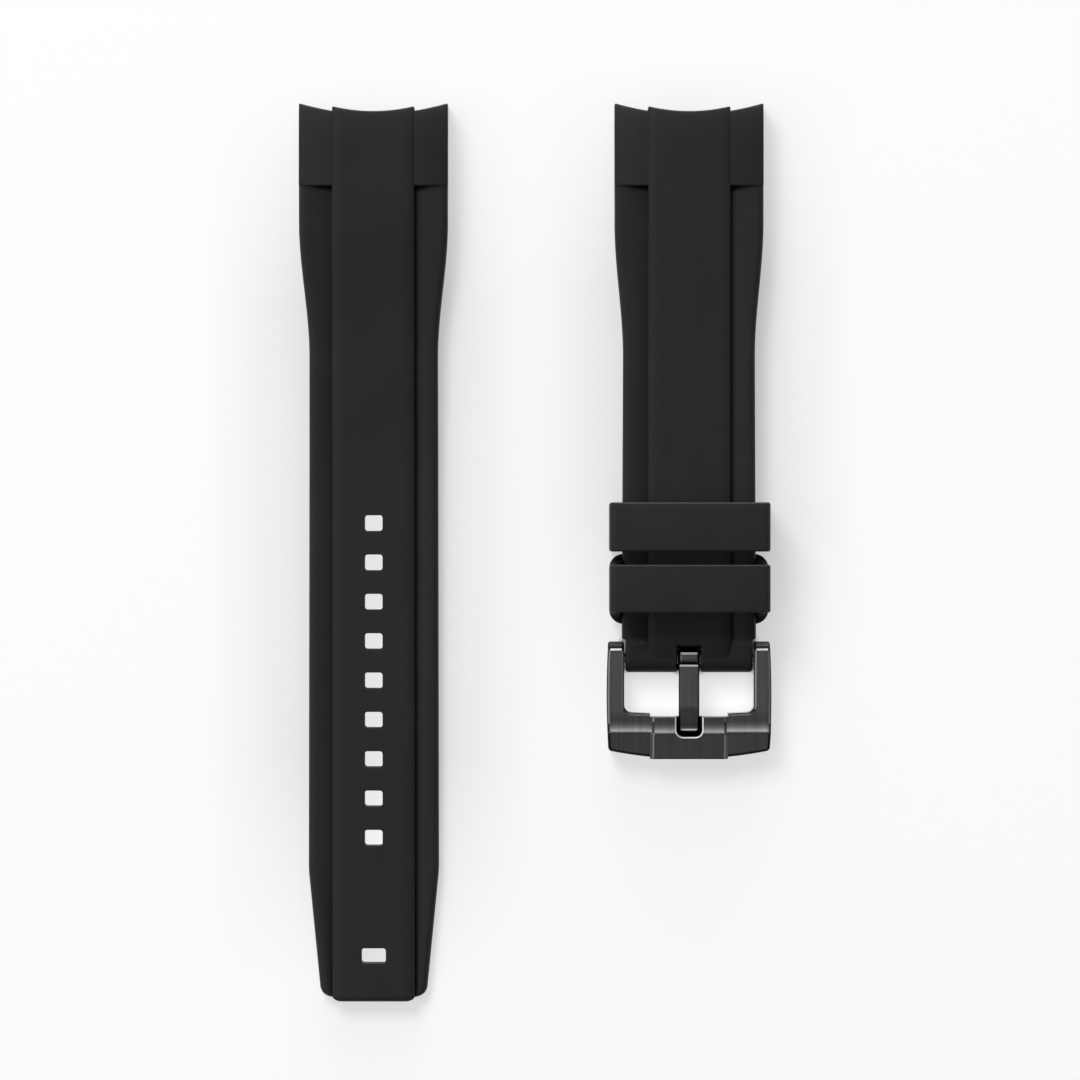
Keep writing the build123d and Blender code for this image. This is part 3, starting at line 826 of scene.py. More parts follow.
@dataclass
class Ring:
    """One cross-section of a moulded bar."""

    y: float
    half_width: float
    low: float
    high: float
    inset: float = 0.0        # how far a rounded rim has drawn it in
    bow: float = 0.0          # the share of the end's concave arc that it follows
    dip: float = 0.0          # how far the top falls inwards or outwards
    edge_share: float = 1.0   # of the rolled edge's size


@dataclass
class MouldedBar:
    """A closed rubber bar along Y, lofted through rings with rolled top edges."""

    middle_x: float
    edge_run: float
    edge_drop: float
    foot: float
    end_radius: float = 33.0
    edge_slope: float = 0.0
    columns: int = 14
    foot_steps: int = 6
    edge_steps: int = 7
    edge_room: float = 0.95           # the most of half the height that the edge takes
    foot_room: float = 0.9
    side_point: float = 0.4           # where the upright side has a point, from below

    def fall(self, x: float, edge_x: float, ring: Ring) -> float:
        """How far the top lies below the ring's highest line at x."""
        return ring.dip * clamp(x / edge_x) ** 2

    def roll(self, y: float) -> float:
        """How far the whole top falls at y."""
        return 0.0

    def column_places(self, edge_x: float) -> list[float]:
        """The places across the top that get a point, from the middle outwards."""
        return [edge_x * i / self.columns for i in range(self.columns + 1)]

    def chains(self, ring: Ring) -> tuple[Outline, Outline, float, float]:
        """The right-hand half of a ring.

        Args:
            ring: the cross-section.

        Returns:
            The lower and the upper chain, from the middle outwards, and the heights
            between which the side stands upright.
        """
        half = ring.half_width - ring.inset
        low = ring.low + ring.inset
        high = ring.high - ring.inset
        room = (high - low) / 2
        run = max(self.edge_run * ring.edge_share - ring.inset, HAIR)
        drop = max(self.edge_drop * ring.edge_share - ring.inset, HAIR)
        drop = min(drop, room * self.edge_room)
        foot = min(max(self.foot - ring.inset, HAIR), room * self.foot_room)
        edge_x = half - run * (1 - math.sin(self.edge_slope))
        top = [(x, high - self.fall(x, edge_x, ring)) for x in self.column_places(edge_x)]
        centre_z = top[-1][1] - drop * math.cos(self.edge_slope)
        bottom = [(min(x, half - foot), low) for x, z in top]
        bottom += [(half - left, low + up) for left, up in corner_run(foot, self.foot_steps)[1:]]
        bottom.append((half, blend(low + foot, centre_z, self.side_point)))
        turn = math.pi / 2 - self.edge_slope
        for i in range(1, self.edge_steps + 1):
            angle = turn * (1 - i / self.edge_steps)
            x = half - run * (1 - math.cos(angle))
            top.append((x, centre_z + drop * math.sin(angle)))
        return bottom, top, low + foot, centre_z

    def points(self, ring: Ring) -> list[Vector]:
        """The whole ring in place.

        Args:
            ring: the cross-section.

        Returns:
            The lower chain, then the upper one back.
        """
        bottom, top, side_low, side_high = self.chains(ring)
        placed = []
        for x, z in both_ways(bottom, 1) + both_ways(top, 1)[::-1]:
            y = ring.y + ring.bow * sagitta(self.end_radius, x)
            share = clamp((z - side_low) / max(side_high - side_low, HAIR))
            placed.append(Vector((self.middle_x + x, y, z - share * self.roll(y))))
        return placed

    def build(self, name: str, rings: list[Ring]) -> Piece:
        """The bar through its rings."""
        return skin(name, [self.points(ring) for ring in rings])


@dataclass
class RolledBar(MouldedBar):
    """A bar whose top rolls down towards the watch's case."""

    roll_start: float = 0.0
    roll_length: float = 5.6
    roll_drop: float = 0.95
    roll_turn: float = 0.95           # of the quarter ellipse, so that it ends sloping

    def roll(self, y: float) -> float:
        """Most of a quarter of an ellipse."""
        share = clamp((y - self.roll_start) / self.roll_length)
        return self.roll_drop * (1 - math.sqrt(1 - share * share * self.roll_turn))


@dataclass
class WingBar(MouldedBar):
    """The strap's low body, whose top dips on each side towards the rib."""

    rib_half: float = 5.52
    rib_columns: int = 3
    least_run: float = 0.3
    under_share: float = 0.96         # of the rib's half width that is sparse
    under_room: float = 0.8           # and of the whole top, at most

    def fall(self, x: float, edge_x: float, ring: Ring) -> float:
        """A dip that is deepest beside the rib and stays so under it."""
        room = max(edge_x - self.rib_half, self.least_run)
        return ring.dip * clamp((edge_x - x) / room) ** 2

    def column_places(self, edge_x: float) -> list[float]:
        """Few points under the rib, and many on the wings.

        Args:
            edge_x: where the rolled edge starts.

        Returns:
            The places, from the middle outwards.
        """
        inner = min(self.rib_half * self.under_share, edge_x * self.under_room)
        wing = self.columns - self.rib_columns
        places = [inner * i / self.rib_columns for i in range(self.rib_columns)]
        return places + [blend(inner, edge_x, i / wing) for i in range(wing + 1)]


@dataclass
class ShoulderBar(RolledBar):
    """The case end's block, whose top falls from the rib out to each side."""

    rib_half: float = 5.52

    def fall(self, x: float, edge_x: float, ring: Ring) -> float:
        """A crown that starts beside the rib."""
        return ring.dip * clamp((x - self.rib_half) / (edge_x - self.rib_half)) ** 2


@dataclass
class MouldedHalf:
    """What both halves of the strap share: case end, rib and waist.

    A distance is measured back from the case end's corners. Each half sets its own
    widths, lows and rib_tops, stops for along(), and makes its own wings and rib.
    """

    places: Places
    finishes: Finishes
    lug_width: float = 20.0
    rib_width: float = 11.04
    rib_edge_run: float = 1.6
    rib_edge_drop: float = 0.42
    rib_lift: float = 0.08            # the rib's own foot, above the body's underside
    wing_drop: float = 0.95
    wing_dip: float = 0.46
    wing_root: float = 1.5            # how far the wings reach into the block
    trench_depth: float = 0.6
    trench_length: float = 1.1
    wing_edge: float = 0.8
    foot: float = 0.45
    block_length: float = 11.16
    block_height: float = 6.0
    shoulder_drop: float = 0.35
    shoulder_fall: float = 0.62
    shoulder_edge: float = 0.3
    shoulder_front: float = 33.0
    rib_front: float = 23.0
    shoulder_setback: float = 0.4
    roll_length: float = 5.6
    rim: float = 0.22
    rear_rim: float = 0.16
    underside: float = 1.45
    ramp_length: float = 2.2
    waist_start: float = 16.1
    waist_length: float = 17.8
    lug_hole_setback: float = 2.7
    lug_hole_height: float = 2.75
    lug_hole_radius: float = 1.3
    lug_hole_length: float = 22.0
    station_step: float = 1.0
    block_step: float = 0.5
    trench_step: float = 0.15
    crease_angle: float = 32.0

    @property
    def half_rib(self) -> float:
        """Half the rib's width."""
        return self.rib_width / 2

    @property
    def shoulder_mid_y(self) -> float:
        """Where the shoulders' arc crosses the middle line."""
        return self.places.lug_line - sagitta(self.shoulder_front, self.lug_width / 2)

    @property
    def rib_mid_y(self) -> float:
        """Where the rib's arc crosses the middle line."""
        return self.shoulder_mid_y + self.shoulder_setback

    @property
    def roll_start(self) -> float:
        """Where the top starts to roll down to the case."""
        return self.places.lug_line - self.roll_length

    @property
    def block_y(self) -> float:
        """The rear of the block."""
        return self.places.lug_line - self.block_length

    @property
    def trench_y(self) -> float:
        """Where the trench behind the block has run out."""
        return self.places.lug_line - (self.block_length + self.trench_length)

    @property
    def waist_end(self) -> float:
        """How far back the strap has narrowed to its waist."""
        return self.waist_start + self.waist_length

    def half_width(self, distance: float) -> float:
        """Half the strap's width at a distance."""
        return along(distance, *self.widths)

    def low(self, distance: float) -> float:
        """The underside's height at a distance."""
        return along(distance, *self.lows)

    def rib_top(self, distance: float) -> float:
        """The rib's height at a distance."""
        return along(distance, *self.rib_tops)

    def shoulders(self) -> Piece:
        """Make the block between the lugs.

        Returns:
            The block.
        """
        half, edge = self.lug_width / 2, self.shoulder_edge
        slope = math.atan(2 * self.shoulder_fall / (half - self.half_rib))
        bar = ShoulderBar(self.middle_x, edge, edge, self.foot, self.shoulder_front, slope)
        bar.roll_start = self.roll_start
        bar.rib_half = self.half_rib
        rear, front = self.block_y, self.shoulder_mid_y
        rings = [(y, inset, 0.0) for y, inset in reversed(end_rim(rear, 1, self.rear_rim, 4))]
        inner_rear = rear + self.rear_rim
        inner_front = front - self.rim
        for y in spaced(inner_rear, inner_front, self.station_step / 2)[1:-1]:
            rings.append((y, 0.0, (y - inner_rear) / (inner_front - inner_rear)))
        rings += [(y, inset, 1.0) for y, inset in end_rim(front, -1, self.rim, 5)]
        top = self.block_height - self.shoulder_drop
        made = [Ring(y, half, 0.0, top, inset, bow, self.shoulder_fall) for y, inset, bow in rings]
        return bar.build("shoulders", made)

    def rib_bar(self) -> RolledBar:
        """The bar that makes the raised rib."""
        sizes = (self.rib_edge_run, self.rib_edge_drop, self.foot, self.rib_front)
        return RolledBar(self.middle_x, *sizes, roll_start=self.roll_start)

    def wing_bar(self) -> WingBar:
        """The bar that makes the strap's low body."""
        sizes = (self.wing_edge, self.wing_edge, self.foot)
        return WingBar(self.middle_x, *sizes, rib_half=self.half_rib)

    def rib_front_rings(self) -> list[Ring]:
        """The rib on the case end.

        Returns:
            Its rings, from its concave front backwards.
        """
        start, end = self.rib_mid_y - self.rim, self.block_y
        front = reversed(end_rim(self.rib_mid_y, -1, self.rim, 5))
        spots = [(y, inset, 1.0) for y, inset in front]
        for y in spaced(start, end, self.station_step / 2)[1:]:
            spots.append((y, 0.0, clamp((y - end) / (start - end))))
        size = (self.half_rib, self.rib_lift, self.block_height)
        return [Ring(y, *size, inset, bow) for y, inset, bow in spots]

    def trench_ys(self, start: float) -> list[float]:
        """Close stations across the trench, from start up to its end."""
        behind = spaced(self.block_y, self.trench_y, self.trench_step)[:-1]
        return spaced(start, self.block_y, self.block_step)[:-1] + behind

    def trench(self, distance: float) -> float:
        """How much deeper the wings dip just behind the case end."""
        share = clamp(1 - (distance - self.block_length) / self.trench_length)
        return self.trench_depth * share * share

    def wing_lift(self, distance: float) -> float:
        """How far the wings' foot lies above the underside."""
        return HAIR if distance > self.block_length else self.rib_lift

    def lug_hole(self) -> Piece:
        """A cutter for the hole of the watch's spring bar."""
        middle = Vector((self.middle_x, self.rib_mid_y - self.lug_hole_setback, self.lug_hole_height))
        return cross_bar("lug_hole", middle, self.lug_hole_radius, self.lug_hole_length)

    def mould(self, name: str, joined: list[Piece], cut: list[Piece]) -> Piece:
        """Work the whole half from its wings, block and rib.

        Args:
            name: the half's name.
            joined: what else is joined to it.
            cut: what is cut away, beside the lug's hole.

        Returns:
            The half, shaded but not yet dressed.
        """
        strap = self.wings()
        strap.name = name
        for other in (self.shoulders(), self.rib(), *joined):
            work_in(strap, other, Joining.UNION)
        for other in (self.lug_hole(), *cut):
            work_in(strap, other, Joining.DIFFERENCE)
        tidy_mesh(strap.data)
        smooth(strap, self.crease_angle)
        return strap


def cross_bar(name: str, middle: Vector, radius: float, length: float) -> Piece:
    """Make a round bar along X.

    Args:
        name: the object's name.
        middle: the bar's middle.
        radius: its radius.
        length: its whole length.

    Returns:
        The bar.
    """
    angles = [math.pi * (i + 0.5) / BAR_STEPS for i in range(BAR_STEPS * 2)]
    rings = [
        [middle + Vector((x, -math.cos(a) * radius, -math.sin(a) * radius)) for a in angles]
        for x in (-length / 2, length / 2)
    ]
    return skin(name, rings)


@dataclass
class HoleRow:
    """The row of square holes, repeated by Geometry Nodes from one cutter."""

    width: float = 2.42
    length: float = 2.1
    corner: float = 0.38
    rim: float = 0.10
    rim_turn: float = 0.9             # of a quarter turn
    count: int = 9
    pitch: float = 5.29
    reach: float = 2.0                # how far a cutter runs past the strap

    def cutter(self, name: str, middle: Vector, width: float) -> Piece:
        """Make one cutter with a rounded mouth.

        Args:
            name: the object's name.
            middle: the hole's middle, on the strap's top.
            width: the hole's size along X.

        Returns:
            The cutter.
        """
        levels = [(-middle.z - self.reach, 0.0)]
        for angle in quarter(5):
            angle *= self.rim_turn
            levels.append((-self.rim * (1 - math.sin(angle)), self.rim * (1 - math.cos(angle))))
        levels.append((self.reach, levels[-1][1] + HAIR))
        rings = []
        for z, grow in levels:
            corner = self.corner + grow
            plan = rounded_rectangle(width + grow * 2, self.length + grow * 2, corner, corner)
            rings.append([middle + Vector((x, y, z)) for x, y in plan])
        return skin(name, rings)

    def tree(self, material: bpy.types.Material) -> bpy.types.NodeTree:
        """Make the node tree that repeats a cutter along a line.

        Args:
            material: what the holes' walls are made of.

        Returns:
            The tree, whose inputs are the cutter, the count and the step.
        """
        tree = bpy.data.node_groups.new("hole_row", "GeometryNodeTree")
        face = tree.interface
        face.new_socket("Geometry", in_out="INPUT", socket_type="NodeSocketGeometry")
        count = face.new_socket("Count", in_out="INPUT", socket_type="NodeSocketInt")
        count.default_value = self.count
        step = face.new_socket("Step", in_out="INPUT", socket_type="NodeSocketVector")
        step.default_value = (0.0, -self.pitch, 0.0)
        face.new_socket("Geometry", in_out="OUTPUT", socket_type="NodeSocketGeometry")
        given, line, copies, real, painted, result = (
            tree.nodes.new(kind)
            for kind in (
                "NodeGroupInput",
                "GeometryNodeMeshLine",
                "GeometryNodeInstanceOnPoints",
                "GeometryNodeRealizeInstances",
                "GeometryNodeSetMaterial",
                "NodeGroupOutput",
            )
        )
        line.mode = "OFFSET"
        painted.inputs["Material"].default_value = material
        for source, output, target, socket in (
            (given, "Count", line, "Count"),
            (given, "Step", line, "Offset"),
            (line, "Mesh", copies, "Points"),
            (given, "Geometry", copies, "Instance"),
            (copies, "Instances", real, "Geometry"),
            (real, "Geometry", painted, "Geometry"),
            (painted, "Geometry", result, "Geometry"),
        ):
            tree.links.new(source.outputs[output], target.inputs[socket])
        return tree

    def build(self, first: Vector, fall: float, material: bpy.types.Material) -> Piece:
        """Make all the cutters.

        Args:
            first: the first hole's middle, on the strap's top.
            fall: how far the strap's top falls from one hole to the next.
            material: what the holes' walls are made of.

        Returns:
            One object that holds every cutter.
        """
        row = self.cutter("hole_row", first, self.width)
        tree = self.tree(material)
        change = row.modifiers.new("repeat", "NODES")
        change.node_group = tree
        ids = {item.name: item.identifier for item in tree.interface.items_tree}
        change[ids["Count"]] = self.count
        change[ids["Step"]] = (0.0, -self.pitch, -fall)
        apply_modifiers(row)
        return row


@dataclass
class TailHalf(MouldedHalf):
    """The long half, with its holes and its tip."""

    waist_width: float = 17.3
    hole_width: float = 17.55
    waist_height: float = 4.3
    hole_height: float = 3.55
    tip_height: float = 3.0
    droop_length: float = 36.0
    taper_length: float = 17.7
    tip_width: float = 14.05
    tip_wing_radius: float = 1.85
    tip_rib_radius: float = 0.75
    tip_overhang: float = 0.45
    tip_rim: float = 0.7
    tip_steps: int = 14
    first_hole_distance: float = 56.4
    tip_hole_width: float = 3.28
    tip_hole_length: float = 2.0
    tip_hole_distance: float = 114.6
    holes: HoleRow = field(default_factory=HoleRow)

    def __post_init__(self) -> None:
        """Set the widths and heights along the way: up behind the block, then down."""
        risen = self.block_length + self.ramp_length
        on_table = risen + self.droop_length
        self.widths = (
            (self.waist_start, self.lug_width / 2, ease),
            (self.waist_end, self.waist_width / 2, blend),
            (self.length - self.taper_length, self.hole_width / 2, blend),
            (self.length, self.tip_width / 2, None),
        )
        self.lows = (
            (self.block_length, 0.0, ease),
            (risen, self.underside, ease),
            (on_table, 0.0, None),
        )
        self.rib_tops = (
            (self.block_length, self.block_height, ease),
            (self.waist_end, self.waist_height, ease),
            (on_table, self.hole_height, blend),
            (self.length, self.tip_height, None),
        )

    @property
    def middle_x(self) -> float:
        """The half's middle line."""
        return self.places.tail_x

    @property
    def length(self) -> float:
        """From the case-end corners to the tip."""
        return self.places.lug_line - self.places.tip_y

    def ring(self, y: float, half: float, top: float, inset: float, lift: float) -> Ring:
        """A ring at y with the strap's underside there."""
        return Ring(y, half, self.low(self.places.lug_line - y) + lift, top, inset)

    def tip_rings(self, end_y: float, half: float, corner: float, is_rib: bool) -> list[Ring]:
        """The rings round the tip's corners.

        Args:
            end_y: where the rings end.
            half: the half width where the corner starts.
            corner: the corner's radius in plan.
            is_rib: whether these are the rib's rings.

        Returns:
            The rings from the corner's start to the end.
        """
        rings = []
        for left, drawn in corner_run(corner, self.tip_steps)[1:]:
            y = end_y + left
            share = clamp(1 - (y - end_y) / self.tip_rim)
            inset = self.tip_rim * (1 - math.sqrt(1 - share * share))
            top = self.rib_top(self.places.lug_line - y) - (0.0 if is_rib else self.wing_drop)
            rings.append(self.ring(y, half - drawn, top, inset, self.rib_lift if is_rib else 0.0))
            rings[-1].dip = 0.0 if is_rib else self.wing_dip
        return rings

    def wings(self) -> Piece:
        """Make the low body of the strap, from inside the block to the tip.

        Returns:
            The body.
        """
        line = self.places.lug_line
        end = self.places.tip_y + self.tip_overhang
        corner_start = end + self.tip_wing_radius
        ys = self.trench_ys(self.block_y + self.wing_root)
        rings = []
        for y in ys + spaced(self.trench_y, corner_start, self.station_step):
            distance = line - y
            top = self.rib_top(distance) - self.wing_drop
            half, lift = self.half_width(distance), self.wing_lift(distance)
            rings.append(self.ring(y, half, top, 0.0, lift))
            rings[-1].dip = self.wing_dip + self.trench(distance)
        half = self.half_width(line - corner_start)
        rings += self.tip_rings(end, half, self.tip_wing_radius, False)
        return self.wing_bar().build("wings", rings)

    def rib(self) -> Piece:
        """Make the raised rib, from its concave front to the tip.

        Returns:
            The rib.
        """
        rings = self.rib_front_rings()
        corner_start = self.places.tip_y + self.tip_rib_radius
        for y in spaced(rings[-1].y, corner_start, self.station_step)[1:]:
            top = self.rib_top(self.places.lug_line - y)
            rings.append(self.ring(y, self.half_rib, top, 0.0, self.rib_lift))
        rings += self.tip_rings(self.places.tip_y, self.half_rib, self.tip_rib_radius, True)
        return self.rib_bar().build("rib", rings)

    def hole_middle(self, distance: float) -> Vector:
        """A hole's middle on the rib's top."""
        y = self.places.lug_line - distance
        return Vector((self.middle_x, y, self.rib_top(distance)))

    def build(self) -> Piece:
        """Make the whole half.

        Returns:
            The half, dressed.
        """
        first = self.hole_middle(self.first_hole_distance)
        second = self.hole_middle(self.first_hole_distance + self.holes.pitch)
        row = self.holes.build(first, first.z - second.z, self.finishes.rubber)
        middle = self.hole_middle(self.tip_hole_distance)
        tip_hole = HoleRow(length=self.tip_hole_length)
        cutter = tip_hole.cutter("tip_hole", middle, self.tip_hole_width)
        strap = self.mould("tail_half", [], [row, cutter])
        dress(strap, self.finishes.rubber)
        settle(strap, "straps", ("tail_strap",))
        return strap


@dataclass
class BuckleHalf(MouldedHalf):
    """The short half: its band, the nose round the spring bar and the fixed keeper."""

    waist_width: float = 17.72
    keeper_width: float = 18.04
    waist_height: float = 5.45
    keeper_height: float = 5.05
    nose_radius: float = 1.89
    nose_width: float = 17.06
    nose_corner: float = 0.45
    nose_turn: float = 0.98           # of a quarter turn, each way
    neck_length: float = 2.45
    neck_step: float = 0.35
    wing_ramp_start: float = 2.85     # behind the bar
    wing_ramp_length: float = 1.5
    wing_ramp_rise: float = 0.55
    faded_edge: float = 0.5           # of the wings' rolled edge, at the bar
    slot_width: float = 3.2
    slot_depth: float = 1.66
    slot_rim: float = 0.24
    end_rim: float = 0.34
    prong_back: float = 1.4           # how far a prong starts inside the band
    tunnel_radius: float = 0.85
    skin_step: float = 0.015          # the prongs' top over the band's
    cradle_radius: float = 1.46       # round the bar, clear of the tongue's barrel
    cradle_start: float = 0.85
    cradle_step: float = 0.1
    flat_step: float = 0.4            # across a prong, under the flat of the rib
    nose_step: float = 0.2
    nose_steps: int = 16

    def __post_init__(self) -> None:
        """Set the widths and heights along the way, to the nose round the bar."""
        bar_z = self.places.bar.z
        self.widths = (
            (self.waist_start, self.lug_width / 2, ease),
            (self.waist_end, self.waist_width / 2, blend),
            (self.neck, self.keeper_width / 2, None),
        )
        self.lows = (
            (self.block_length, 0.0, ease),
            (self.block_length + self.ramp_length, self.underside, blend),
            (self.neck, self.underside, ease),
            (self.bar_distance, bar_z - self.nose_radius, None),
        )
        self.rib_tops = (
            (self.block_length, self.block_height, ease),
            (self.waist_end, self.waist_height, blend),
            (self.neck, self.keeper_height, quicken),
            (self.bar_distance, bar_z + self.nose_radius, None),
        )

    @property
    def middle_x(self) -> float:
        """The half's middle line."""
        return self.places.head_x

    @property
    def bar_distance(self) -> float:
        """From the case-end corners to the spring bar."""
        return self.places.lug_line - self.places.bar.y

    @property
    def neck(self) -> float:
        """From the case-end corners to where the strap narrows for the buckle."""
        return self.bar_distance - self.neck_length

    @property
    def band_end_y(self) -> float:
        """The tongue slot's closed end."""
        return self.places.bar.y + self.slot_depth

    def wings_left_down(self, distance: float) -> float:
        """The share of their drop that the wings still have.

        Args:
            distance: from the case-end corners.

        Returns:
            1 behind the ramp, and 0 at the bar.
        """
        risen = self.wing_ramp_rise / self.wing_drop
        run = distance - self.bar_distance + self.wing_ramp_start
        faded = clamp((run - self.wing_ramp_length) / (self.wing_ramp_start - self.wing_ramp_length))
        return 1 - ease(0.0, risen, run / self.wing_ramp_length) - (1 - risen) * faded

    def wing_top(self, distance: float) -> float:
        """The height of the wings."""
        return self.rib_top(distance) - self.wing_drop * self.wings_left_down(distance)

    def band_stations(self, start: float, is_wing: bool) -> Outline:
        """The stations along the band, to its rounded end in the slot.

        Args:
            start: the first station's Y.
            is_wing: whether they are the wings' and cross the trench closely.

        Returns:
            Pairs of y and inset.
        """
        ramp_y = self.places.bar.y + self.wing_ramp_start
        ys = [y for y in self.trench_ys(start) if y < start + HAIR or is_wing]
        ys += spaced(ys[-1] if ys else start, ramp_y, self.station_step)[1:]
        ys += spaced(ramp_y, self.band_end_y + self.end_rim, self.station_step / 6)[1:-1]
        return [(y, 0.0) for y in ys] + end_rim(self.band_end_y, 1, self.end_rim, 6)

    def wings(self) -> Piece:
        """Make the low body of the strap, to the end of the slot.

        Returns:
            The body.
        """
        inner = self.nose_width / 2 - HAIR * 4
        rings = []
        for y, inset in self.band_stations(self.block_y + self.wing_root, True):
            distance = self.places.lug_line - y
            half = self.half_width(distance)
            short = clamp(1 - (self.neck - distance) / self.neck_step)
            half -= (half - inner) * (1 - math.sqrt(1 - short * short))
            left = self.wings_left_down(distance)
            low = self.low(distance) + self.wing_lift(distance)
            ring = Ring(y, half, low, self.wing_top(distance), inset)
            ring.dip = self.wing_dip * left + self.trench(distance)
            ring.edge_share = blend(self.faded_edge, 1.0, left)
            rings.append(ring)
        return self.wing_bar().build("wings", rings)

    def rib(self) -> Piece:
        """Make the raised rib, to the end of the slot.

        Returns:
            The rib.
        """
        rings = self.rib_front_rings()
        for y, inset in self.band_stations(rings[-1].y, False)[1:]:
            distance = self.places.lug_line - y
            low = self.low(distance) + self.rib_lift
            rings.append(Ring(y, self.half_rib, low, self.rib_top(distance), inset))
        return self.rib_bar().build("rib", rings)

    def prong_top(self, x: float, distance: float) -> float:
        """A prong's top, with the rib's edge fading into the wings.

        Args:
            x: how far from the middle line.
            distance: from the case-end corners.

        Returns:
            The height there.
        """
        rib = self.rib_top(distance)
        left = self.wings_left_down(distance)
        wing = rib - self.wing_drop * left
        if x < self.half_rib:
            share = clamp(1 - (self.half_rib - x) / self.rib_edge_run)
            rolled = rib - self.rib_edge_drop * (1 - math.sqrt(1 - share * share))
            return max(rolled, wing - self.wing_dip * left)
        outer = self.nose_width / 2 - self.wing_edge
        share = clamp((outer - x) / (outer - self.half_rib))
        return wing - self.wing_dip * left * share * share

    def prong_ring(self, side: float, x: float, inset: float) -> list[Vector]:
        """A prong's side outline: along the neck and round the nose.

        Args:
            side: 1 for the right-hand prong and -1 for the left-hand one.
            x: how far from the middle line.
            inset: how far a rounded rim has drawn the outline in.

        Returns:
            The lower chain towards the nose, then the upper one back.
        """
        bar = self.places.bar
        low: Outline = []
        high: Outline = []
        for y in spaced(self.band_end_y + self.prong_back, bar.y, self.nose_step):
            distance = self.places.lug_line - y
            low.append((y, self.low(distance) - self.skin_step + inset))
            high.append((y, self.prong_top(x, distance) + self.skin_step - inset))
        radius = self.nose_radius - inset
        for angle in quarter(self.nose_steps)[1:]:
            angle *= self.nose_turn
            y = bar.y - radius * math.sin(angle)
            low.append((y, bar.z - radius * math.cos(angle)))
            high.append((y, bar.z + radius * math.cos(angle)))
        return [Vector((self.middle_x + side * x, y, z)) for y, z in low + high[::-1]]

    def prong(self, side: float) -> Piece:
        """Make one side of the nose, between the slot and the buckle's arm.

        Args:
            side: 1 for the right-hand prong and -1 for the left-hand one.

        Returns:
            The prong.
        """
        rim, corner = self.slot_rim, self.nose_corner
        inner, outer = self.slot_width / 2, self.nose_width / 2
        edge_start = self.half_rib - self.rib_edge_run
        xs = spaced(inner + rim, edge_start, self.flat_step)[1:]
        xs += [edge_start + self.rib_edge_run * math.sin(a) for a in quarter(8)[1:-1]]
        xs += [self.half_rib - HAIR / 2, self.half_rib + HAIR / 2]
        xs += spaced(self.half_rib + HAIR, outer - corner, self.nose_step)[1:]
        stations = [(inner + left, drawn) for left, drawn in reversed(corner_run(rim, 6))]
        stations += [(x, 0.0) for x in xs]
        stations += [(outer - left, drawn) for left, drawn in corner_run(corner, 7)[1:]]
        return skin("prong", [self.prong_ring(side, x, inset) for x, inset in stations])

    def cradle(self) -> Piece:
        """Make the rubber below the barrel at the slot's closed end.

        Returns:
            The cradle.
        """
        bar = self.places.bar
        low: Outline = []
        high: Outline = []
        for run in spaced(self.cradle_start, self.slot_depth + self.end_rim, self.cradle_step):
            depth = math.sqrt(max(self.cradle_radius**2 - run**2, 0.0))
            low.append((bar.y + run, self.low(self.bar_distance - run) + HAIR))
            high.append((bar.y + run, bar.z - depth))
        half = self.slot_width / 2 + self.slot_rim * 2
        outline = low + high[::-1]
        rings = [[Vector((self.middle_x + x, y, z)) for y, z in outline] for x in (-half, half)]
        return skin("cradle", rings)

    def build(self) -> Piece:
        """Make the whole half.

        Returns:
            The half, dressed.
        """
        keeper = FixedKeeper(self.places)
        joined = [self.prong(-1.0), self.prong(1.0), self.cradle(), keeper.build()]
        tunnel = cross_bar("tunnel", self.places.bar, self.tunnel_radius, self.lug_width)
        strap = self.mould("buckle_half", joined, [tunnel])
        for face in strap.data.polygons:
            face.material_index = 0
        # the flares get the near-black rubber as painted shade
        keeper.paint_shade_on_flares(strap)
        dress(strap, self.finishes.rubber, self.finishes.painted_shade)
        settle(strap, "straps", ("buckle_strap",))
        return strap


@dataclass
class LoopStation:
    """A place on a keeper's way round: its inner and outer points in X and Z."""

    inner: Vector
    outer: Vector


